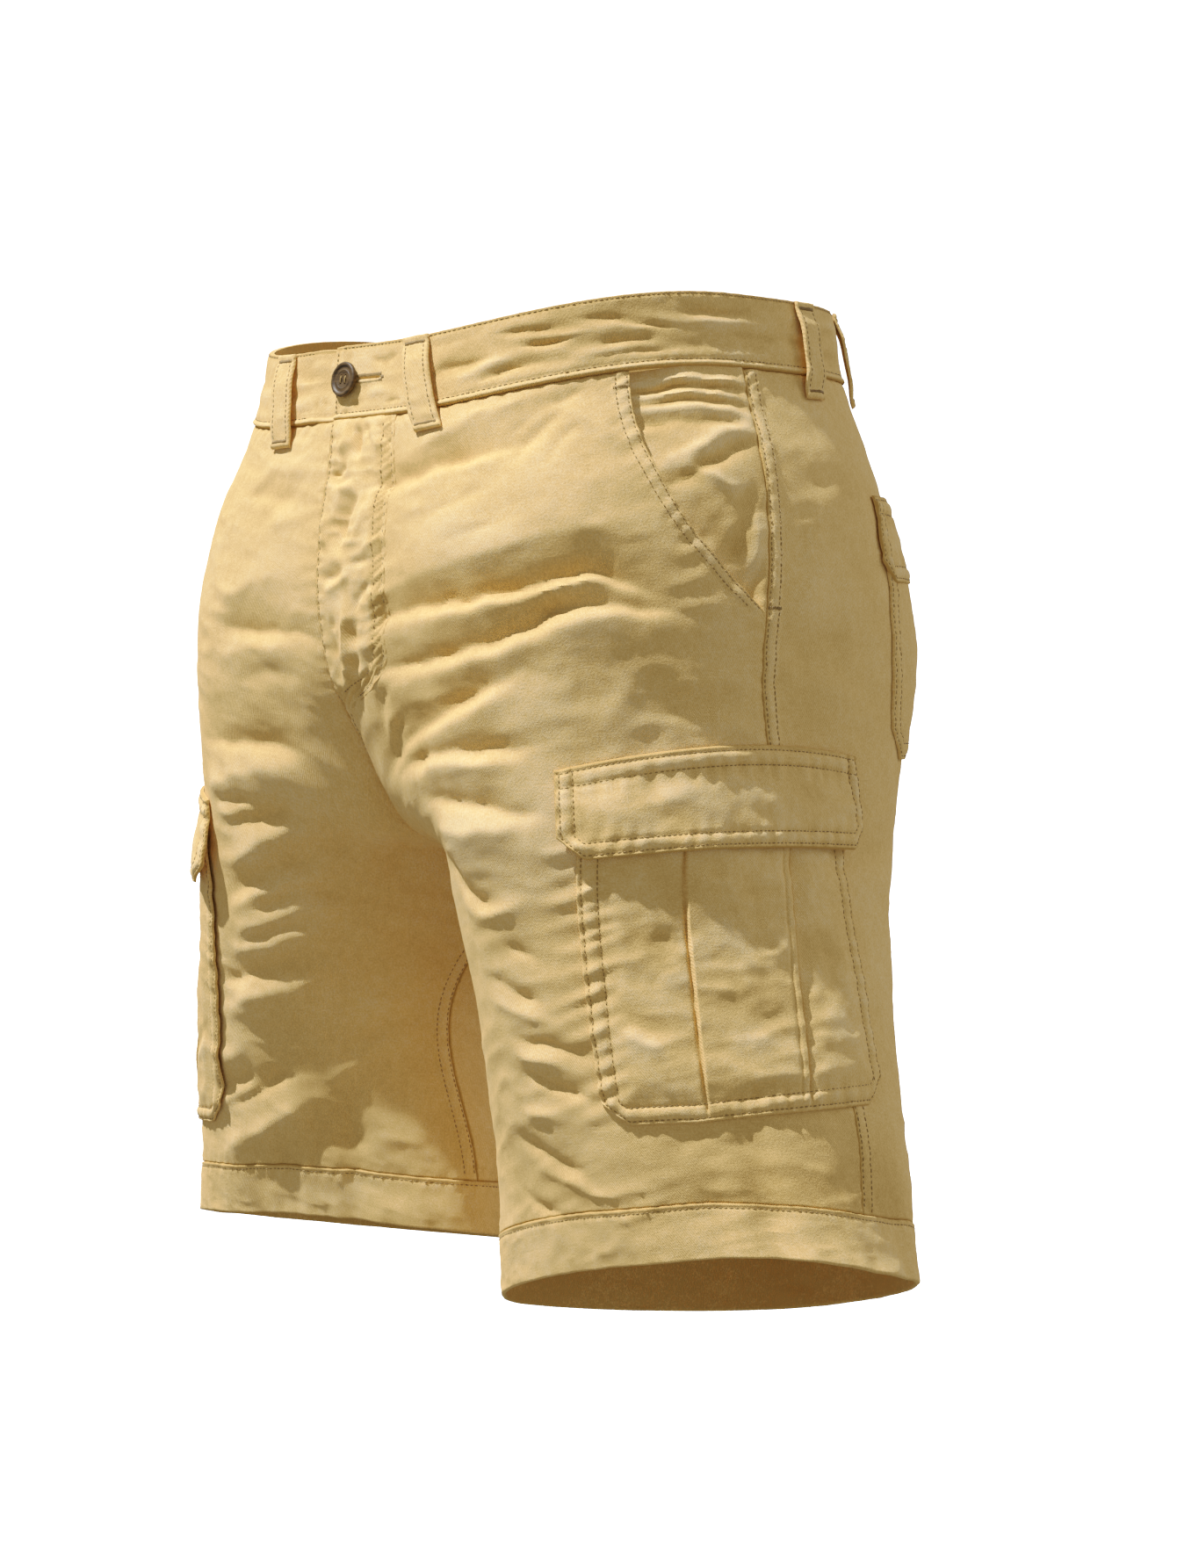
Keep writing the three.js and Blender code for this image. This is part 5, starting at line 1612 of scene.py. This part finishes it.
class SHORTS_OT_button(bpy.types.Operator):
    """Make the four-hole button with its thread"""
    bl_idname = "shorts.button"
    bl_label = "Button"

    def execute(self, context):
        radius, thick = BUTTON["radius"], BUTTON["thickness"]
        inner = radius - BUTTON["rim"]
        floor = thick - BUTTON["dish"]
        profile = [(0, 0), (radius - 1.2, 0), (radius - 0.5, 0.25), (radius - 0.1, 0.8), (radius, 1.4),
                   (radius - 0.05, thick - 0.7), (radius - 0.3, thick - 0.25), (radius - 0.8, thick),
                   (inner + 0.2, thick - 0.02), (inner - 0.15, thick - 0.2), (inner - 0.5, floor + 0.15),
                   (inner - 1.1, floor), (inner - 2.2, floor), (inner - 2.5, floor + 0.18),
                   (inner - 2.9, floor), (0, floor - 0.1)]
        middle, turn = button_frame()
        shape = bmesh.new()
        segments = 72
        rings = []
        for r, z in profile:
            rings.append(turned_ring(shape, r, z, segments) if r else [shape.verts.new((0, 0, z))])
        for low, high in zip(rings[:-1], rings[1:]):
            for k in range(segments):
                n = (k + 1) % segments
                corners = [low[k % len(low)], low[n % len(low)], high[n % len(high)], high[k % len(high)]]
                shape.faces.new(list(dict.fromkeys(corners)))
        bmesh.ops.recalc_face_normals(shape, faces=shape.faces)
        solid = place_object("button_blank", mesh_of(shape, "button_disc"))
        drills = bmesh.new()
        for x, y in ((1, 1), (1, -1), (-1, -1), (-1, 1)):
            ring = bmesh.ops.create_cone(drills, cap_ends=True, segments=20, radius1=BUTTON["hole"],
                                         radius2=BUTTON["hole"], depth=4 * thick)
            bmesh.ops.translate(drills, verts=ring["verts"],
                                vec=(x * BUTTON["spacing"], y * BUTTON["spacing"], 0))
        cutter = place_object("button_drill", mesh_of(drills, "button_bore"))
        cut = solid.modifiers.new("Holes", "BOOLEAN")
        cut.operation = "DIFFERENCE"
        cut.object = cutter
        cut.solver = "EXACT"
        mesh = modified_mesh(solid)
        for part in (solid, cutter):
            bpy.data.objects.remove(part)
        mesh.name = "button_horn"
        for vertex in mesh.vertices:
            vertex.co = (middle + turn @ vertex.co) / 1000
        mesh.materials.clear()
        mesh.materials.append(material("button"))
        piece = add_piece("button_horn", mesh)
        settle(piece, ["button"], "button")
        self.sew(middle, turn, floor)
        return {"FINISHED"}

    def sew(self, middle, turn, floor):
        """Two bars of thread through the holes, down to the waistband."""
        shape = bmesh.new()
        luck = chance(9)
        s = BUTTON["spacing"]
        for x in (-1, 1):
            for k in range(4):
                shift = x * s + (k - 1.5) * 0.22
                path = [(shift, -s, -1.2), (shift, -s, floor - 0.1), (shift, -s * 0.6, floor + 0.24),
                        (shift + luck.uniform(-0.06, 0.06), 0, floor + 0.36), (shift, s * 0.6, floor + 0.24),
                        (shift, s, floor - 0.1), (shift, s, -1.2)]
                previous = None
                for i, point in enumerate(path):
                    ahead = Vector(path[min(i + 1, 6)]) - Vector(path[max(i - 1, 0)])
                    ahead.normalize()
                    flat = Vector((1, 0, 0))
                    up = ahead.cross(flat)
                    ring = [shape.verts.new(Vector(point) + 0.16 * (math.cos(a) * flat + math.sin(a) * up))
                            for a in (math.tau * q / 6 for q in range(6))]
                    if previous:
                        for q in range(6):
                            shape.faces.new((previous[q], previous[(q + 1) % 6], ring[(q + 1) % 6], ring[q]))
                    else:
                        shape.faces.new(ring[::-1])
                    previous = ring
                shape.faces.new(previous)
        bmesh.ops.recalc_face_normals(shape, faces=shape.faces)
        for vertex in shape.verts:
            vertex.co = (middle + turn @ vertex.co) / 1000
        mesh = mesh_of(shape, "button_thread")
        mesh.materials.append(material("thread"))
        settle(add_piece("button_thread", mesh), [], "cloth")


# Stitching


def walk(points, pitch):
    """Stitch middles and directions along a line of points, at an even pitch."""
    run = np.concatenate(([0], np.cumsum(np.linalg.norm(np.diff(points, axis=0), axis=1))))
    at = np.arange(pitch / 2, run[-1], pitch)
    middles = np.stack([np.interp(at, run, points[:, k]) for k in range(3)], 1)
    ahead = np.stack([np.interp(at + pitch / 3, run, points[:, k]) for k in range(3)], 1)
    behind = np.stack([np.interp(at - pitch / 3, run, points[:, k]) for k in range(3)], 1)
    return middles, ahead - behind


def stitch_tree():
    """Geometry Nodes that put a stitch on each point, along its lay."""
    tree = bpy.data.node_groups.new("Row of stitches", "GeometryNodeTree")
    face = tree.interface
    face.new_socket("Geometry", in_out="INPUT", socket_type="NodeSocketGeometry")
    for name, default in (("Stitch length", 0.0022), ("Thread width", 0.0007)):
        socket = face.new_socket(name, in_out="INPUT", socket_type="NodeSocketFloat")
        socket.default_value = default
        socket.subtype = "DISTANCE"
    face.new_socket("Material", in_out="INPUT", socket_type="NodeSocketMaterial")
    face.new_socket("Geometry", in_out="OUTPUT", socket_type="NodeSocketGeometry")
    given = add_node(tree, "NodeGroupInput")
    lay_of = add_node(tree, "GeometryNodeInputNamedAttribute", {"data_type": "FLOAT_VECTOR"}, {"Name": "lay"})
    turned = add_node(tree, "FunctionNodeAlignRotationToVector", {"axis": "X"},
                      {"Vector": lay_of.outputs["Attribute"]})
    half = maths(tree, "MULTIPLY", given.outputs["Stitch length"], 0.5)
    thin = maths(tree, "MULTIPLY", given.outputs["Thread width"], 0.5)
    size = add_node(tree, "ShaderNodeCombineXYZ", None, {"X": half, "Y": thin, "Z": thin})
    ball = add_node(tree, "GeometryNodeMeshIcoSphere", None, {"Radius": 1.0, "Subdivisions": 1})
    uneven = add_node(tree, "FunctionNodeRandomValue", {"data_type": "FLOAT"}, {2: 0.86, 3: 1.12, "Seed": 3})
    scale = add_node(tree, "ShaderNodeVectorMath", {"operation": "SCALE"},
                     {0: size.outputs["Vector"], "Scale": uneven.outputs[1]})
    placed = add_node(tree, "GeometryNodeInstanceOnPoints", None, {
        "Points": given.outputs["Geometry"], "Instance": ball.outputs["Mesh"],
        "Rotation": turned.outputs["Rotation"], "Scale": scale.outputs["Vector"]})
    real = add_node(tree, "GeometryNodeRealizeInstances", None, {"Geometry": placed.outputs["Instances"]})
    soft = add_node(tree, "GeometryNodeSetShadeSmooth", None, {"Geometry": real.outputs["Geometry"]})
    dressed = add_node(tree, "GeometryNodeSetMaterial", None,
                       {"Geometry": soft.outputs["Geometry"], "Material": given.outputs["Material"]})
    add_node(tree, "NodeGroupOutput", None, {"Geometry": dressed.outputs["Geometry"]})
    return tree


def sew(name, rows, length, width):
    """One plain mesh of stitches from rows of (middles, directions) in millimetres."""
    middles = np.concatenate([row[0] for row in rows]) / 1000
    lays = np.concatenate([row[1] for row in rows])
    lays = lays / np.linalg.norm(lays, axis=1, keepdims=True)
    points = bpy.data.meshes.new(f"{name}_points")
    points.from_pydata(middles.tolist(), [], [])
    points.attributes.new("lay", "FLOAT_VECTOR", "POINT").data.foreach_set("vector", lays.ravel())
    carrier = place_object(f"{name}_points", points)
    tree = bpy.data.node_groups.get("Row of stitches") or stitch_tree()
    nodes = carrier.modifiers.new("Stitches", "NODES")
    nodes.node_group = tree
    values = {"Stitch length": length, "Thread width": width, "Material": material("thread")}
    for socket in tree.interface.items_tree:
        if socket.in_out == "INPUT" and socket.name in values:
            nodes[socket.identifier] = values[socket.name]
    mesh = modified_mesh(carrier)
    mesh.name = name
    bpy.data.objects.remove(carrier)
    settle(place_object(name, mesh), [], "cloth")


BAR_LENGTH = 0.0022


class SHORTS_OT_stitching(bpy.types.Operator):
    """Sew the seams, edges, pockets, flaps, hems, loops and the buttonhole"""
    bl_idname = "shorts.stitching"
    bl_label = "Stitching"

    def execute(self, context):
        sizes = context.scene.shorts_sizes
        pitch = sizes.stitch_pitch * 1000
        length, width = sizes.stitch_length, sizes.thread_width
        for name, lines in (("panels", panel_lines()), ("bands", band_lines()),
                            ("pockets", pocket_lines()), ("flaps", flap_lines())):
            sew(f"stitching_{name}", [walk(line, pitch) for line in lines], length, width)
        sew("stitching_bars", bars(), BAR_LENGTH, width * 0.8)
        return {"FINISHED"}


def panel_lines():
    """Rows of stitches on the panels and the fly."""
    lines = []
    for side in (1, -1):
        for off in ROWS["seam"]:
            drop = np.arange(2, MOUTH_END - 0.35 * off, SEAM_STEP)
            across = pocket_mouth(side, drop) - SIDE_GAP - off
            lines.append(panel_skin(side, "front", across, drop, STITCH_LIFT))
            drop = np.arange(2, HEM_SEAM_DROP - 2, SEAM_STEP)
            lines.append(panel_skin(side, "back", side_seam(side, drop) + SIDE_GAP + off, drop, STITCH_LIFT))
            drop = np.arange(CROTCH_DROP + 8, HEM_SEAM_DROP - 2, SEAM_STEP)
            lines.append(panel_skin(side, "front", ends(side, drop)[0] + SIDE_GAP + off, drop, STITCH_LIFT))
    for off in ROWS["seam"]:
        drop = np.arange(FLY_END + 2, CROTCH_DROP - 3, SEAM_STEP)
        lines.append(panel_skin(1, "front", ends(1, drop)[0] + SIDE_GAP + off, drop, STITCH_LIFT))
        drop = np.arange(2, CROTCH_DROP - 3, SEAM_STEP)
        lines.append(panel_skin(1, "back", ends(1, drop)[1] - SIDE_GAP - off, drop, STITCH_LIFT))
    outline = fly_line()
    ahead = np.gradient(outline, axis=0)
    ahead /= np.linalg.norm(ahead, axis=1, keepdims=True)
    for off in ROWS["fly"]:
        inset = outline + off * np.stack((-ahead[:, 1], ahead[:, 0]), 1)
        inset = inset[(inset[:, 0] > 2) & (inset[:, 1] > 1.5) & (inset[:, 1] < FLY_END - 1)]
        lines.append(fly_skin(inset[:, 0], inset[:, 1], STITCH_LIFT))
    drop = np.arange(2, FLY_END - 2, SEAM_STEP)
    lines.append(fly_skin(along(FLY, "edge", drop) + OPEN_ROW, drop, STITCH_LIFT))
    return lines


def band_lines():
    """Rows of stitches on the waistband, the hems and the belt loops."""
    lines = []
    for drop in (-BAND_HEIGHT + BAND_ROWS[0], -ROUND_GAP - BAND_ROWS[1]):
        front, back = ends_at(1, drop)
        lines.append(band_skin(1, np.arange(front - 1, back, SEAM_STEP), drop, STITCH_LIFT))
        front, back = ends_at(-1, drop)
        lines.append(band_skin(-1, np.arange(front + UNDERLAP, back, SEAM_STEP), drop, STITCH_LIFT))
    drop = np.arange(-BAND_HEIGHT + 3, -3, SEAM_STEP)
    lap = ends(1, drop)[0] - lerp(LAP_TOP, LAP_BOTTOM, (drop + BAND_HEIGHT) / BAND_HEIGHT)
    lines.append(band_skin(1, lap + 3, drop, STITCH_LIFT))
    for side in (1, -1):
        drop = HEM_SEAM_DROP + ROUND_GAP + HEM_ROW
        front, back = ends_at(side, drop)
        lines.append(hem_skin(side, np.arange(front, back, SEAM_STEP), drop + np.zeros(1), STITCH_LIFT))
    part = np.linspace(0.1, 0.9, 50)
    for place in LOOP_PLACES:
        for column in (0.155, 0.845):
            lines.append(loop_skin(place, part, column + 0 * part, STITCH_LIFT))
    return lines


CARGO_SIDE = 165                  # a cargo pocket's side along the cloth, and a back pocket's
SEAT_POCKET_SIDE = 100


def down_and_round(first, start, bottom, mark, last, end):
    """Rows and marks of a line down one side, along the bottom and back up the other side."""
    first, start = paired(first, start)
    last, end = paired(last, end)
    return np.concatenate((first, bottom, last[::-1])), np.concatenate((start, mark, end[::-1]))


def pocket_lines():
    """Rows of stitches round the cargo pockets and the back pockets."""
    lines = []
    for side in (1, -1):
        for off in ROWS["cargo"]:
            row = np.linspace(0.03, 1 - off / (CARGO["bottom"] - CARGO["top"]), 240)
            left, right, _, _ = cargo_marks(row)
            base = 1 - off / CARGO_SIDE
            low, high, _, _ = cargo_marks(base)
            mark = np.linspace(low + off, high - off, 240)
            bottom = 1 - off / cargo_length(base, mark)
            line = down_and_round(row, left + off, bottom, mark, row, right - off)
            lines.append(cargo_skin(side, *line, STITCH_LIFT))
        for off in ROWS["seat_pocket"]:
            row = np.linspace(0.03, 1 - off / SEAT_POCKET_SIDE, 150)
            left, right = BACK_POCKET["left"] + off, BACK_POCKET["right"] - off
            across = np.linspace(left, right, 150)
            bottom = 1 - off / back_pocket_length(across)
            line = down_and_round(row, left, bottom, across, row, right)
            lines.append(back_pocket_skin(side, *line, STITCH_LIFT))
    return lines


def flap_lines():
    """Rows of stitches round the flaps."""
    lines = []
    for sizes in (CARGO_FLAP, BACK_FLAP):
        for side in (1, -1):
            for off in ROWS["flap_rim"]:
                mark = np.linspace(sizes["left"] + off, sizes["right"] - off, 260)
                bottom = 1 - off / flap_place(side, sizes, 0.5, mark)[2]
                row = np.linspace(0.06, 1, 80)
                line = down_and_round(row * bottom[0], mark[0], bottom, mark, row * bottom[-1], mark[-1])
                lines.append(flap_skin(side, sizes, *line, STITCH_LIFT))
            for off in ROWS["flap_top"]:
                mark = np.linspace(sizes["left"] + 2, sizes["right"] - 2, 260)
                length = flap_place(side, sizes, 0.5, mark)[2]
                lines.append(flap_skin(side, sizes, off / length, mark, STITCH_LIFT))
    return lines


def bars():
    """Bars of close stitches where seams are pulled hardest, and round the buttonhole."""
    found = []

    def level_bar(skin, places, drop, tall):
        """Stitches that stand up the cloth, side by side along a short level line."""
        top = skin(places, drop - tall + 0 * places)
        foot = skin(places, drop + tall + 0 * places)
        found.append(((top + foot) / 2, foot - top))

    loop_bar = np.linspace(0.12, 0.88, 22)
    for place in LOOP_PLACES:
        for part in (0.075, 0.93):
            level_bar(lambda c, p: loop_skin(place, p, c, STITCH_LIFT), loop_bar, part, 0.02)
    seam_bar = np.linspace(-4, 4, 12)
    for side in (1, -1):
        mouth = float(pocket_mouth(side, np.array(8.0)))
        level_bar(lambda a, d: panel_skin(side, "front", a, d, STITCH_LIFT), mouth - 5 + seam_bar, 8, 1)
        seam = float(side_seam(side, np.array(121.0)))
        level_bar(lambda a, d: panel_skin(side, "back", a, d, STITCH_LIFT), seam + 5 + seam_bar, 121, 1)
    front = ends_at(1, BUTTON["drop"])[0]
    slit = np.linspace(front + BUTTONHOLE["start"], front + BUTTONHOLE["end"], 34)
    end = front + BUTTONHOLE["end"] + 0.8 + np.linspace(-1, 1, 5)
    for places, drop, tall in ((slit, BUTTONHOLE["drop"] - 1.5, 0.9), (slit, BUTTONHOLE["drop"] + 1.5, 0.9),
                               (end, BUTTON["drop"], 2)):
        level_bar(lambda a, d: band_skin(1, a, d, STITCH_LIFT), places, drop, tall)
    return found


# The photograph's camera: the place it looks at, below the waist seam and right of the middle, in metres, and
# its focal length and the photograph's height, in pixels
AIM_DROP = 0.2273
AIM_RIGHT = 0.0264
FOCAL_LENGTH = 3892
PHOTO_HEIGHT = 1785
SENSOR = 36


def direction(azimuth, elevation):
    """Towards a place round from the front and up."""
    level = math.cos(elevation)
    return Vector((math.sin(azimuth) * level, -math.cos(azimuth) * level, math.sin(elevation)))


def add_sun(name, power, angle, towards):
    """A sun whose light comes from a direction."""
    sun = bpy.data.lights.new(name, "SUN")
    sun.energy = power
    sun.angle = math.radians(angle)
    place_object(name, sun).rotation_euler = towards.to_track_quat("Z", "Y").to_euler()


class SHORTS_OT_stage(bpy.types.Operator):
    """Set up the pale floor and backdrop, the lights and the camera"""
    bl_idname = "shorts.stage"
    bl_label = "Stage, lights and camera"

    def execute(self, context):
        studio = context.scene.shorts_studio
        shape = bmesh.new()
        profile = ((3.0, -0.9), (4.2, -0.82), (5.2, -0.5), (5.8, 0.1), (6.1, 0.9), (6.2, 2.0), (6.2, 3.2))
        segments = 64
        rings = [turned_ring(shape, r, z, segments) for r, z in profile]
        shape.faces.new(rings[0])
        for low, high in zip(rings[:-1], rings[1:]):
            for k in range(segments):
                n = (k + 1) % segments
                shape.faces.new((low[k], high[k], high[n], low[n]))
        mesh = mesh_of(shape, "floor")
        mesh.polygons.foreach_set("use_smooth", [True] * len(mesh.polygons))
        mesh.materials.append(material("paper"))
        floor = place_object("floor", mesh)
        # The paper is bright enough to read as white, and adds no light of its own to the cloth.
        floor.visible_diffuse = False
        floor.visible_glossy = False
        floor.visible_shadow = False
        world = bpy.data.worlds.new("Room")
        world.use_nodes = True
        sky = world.node_tree.nodes["Background"].inputs
        sky["Color"].default_value = (1, 0.97, 0.87, 1)
        sky["Strength"].default_value = studio.room
        context.scene.world = world
        add_sun("Key", studio.key_power, 1.2, direction(studio.key_azimuth, studio.key_elevation))
        add_sun("Back fill", studio.fill_power, 25, Vector((0.25, 0.85, 0.5)))
        back = direction(studio.azimuth, studio.elevation)
        right = Vector((math.cos(studio.azimuth), math.sin(studio.azimuth), 0))
        target = Vector((0, 0, -AIM_DROP)) + right * AIM_RIGHT
        lens = bpy.data.cameras.new("Camera")
        lens.sensor_width = SENSOR
        lens.lens = FOCAL_LENGTH * SENSOR / PHOTO_HEIGHT
        lens.clip_end = 100
        camera = place_object("Camera", lens)
        camera.location = target + back * studio.distance
        camera.rotation_euler = back.to_track_quat("Z", "Y").to_euler()
        context.scene.camera = camera
        view = context.scene.view_settings
        view.view_transform = "Standard"
        # The photograph holds its bright cloth back, as print film does: the pale tones rise half as fast.
        view.use_curve_mapping = True
        view.curve_mapping.white_level = (2, 2, 2)
        tones = view.curve_mapping.curves[3]
        tones.points[0].location = (0, 0)
        tones.points[1].location = (1, 1)
        for dark, pale in ((0.16, 0.32), (0.4, 0.58), (0.7, 0.84)):
            tones.points.new(dark, pale)
        view.curve_mapping.update()
        return {"FINISHED"}


OPERATORS = (SHORTS_OT_stage, SHORTS_OT_fronts, SHORTS_OT_backs, SHORTS_OT_facings, SHORTS_OT_waistband,
             SHORTS_OT_fly, SHORTS_OT_cargo_pockets, SHORTS_OT_back_pockets, SHORTS_OT_flaps, SHORTS_OT_hems,
             SHORTS_OT_loops, SHORTS_OT_button, SHORTS_OT_stitching)


class SHORTS_PT_panel(bpy.types.Panel):
    """The shorts' pieces, sizes and colours"""
    bl_idname = "SHORTS_PT_panel"
    bl_label = "Cargo shorts"
    bl_space_type = "VIEW_3D"
    bl_region_type = "UI"
    bl_category = "Shorts"

    def draw(self, context):
        for group in (context.scene.shorts_sizes, context.scene.shorts_colours, context.scene.shorts_studio):
            for name in group.__annotations__:
                self.layout.prop(group, name)
        for operator in OPERATORS:
            self.layout.operator(operator.bl_idname)


GROUPS = (("shorts_sizes", ShortsSizes), ("shorts_colours", ShortsColours), ("shorts_studio", ShortsStudio))


def register():
    """Register the classes and the scene's settings."""
    for name, group in GROUPS:
        bpy.utils.register_class(group)
        setattr(bpy.types.Scene, name, bpy.props.PointerProperty(type=group))
    for item in OPERATORS + (SHORTS_PT_panel,):
        bpy.utils.register_class(item)


def unregister():
    """Take the classes and the scene's settings away again."""
    for item in (SHORTS_PT_panel,) + OPERATORS[::-1]:
        bpy.utils.unregister_class(item)
    for name, group in GROUPS[::-1]:
        delattr(bpy.types.Scene, name)
        bpy.utils.unregister_class(group)


def main():
    """Make every piece in order."""
    register()
    for operator in OPERATORS:
        getattr(bpy.ops.shorts, operator.bl_idname.split(".")[1])()


if __name__ == "__main__":
    main()
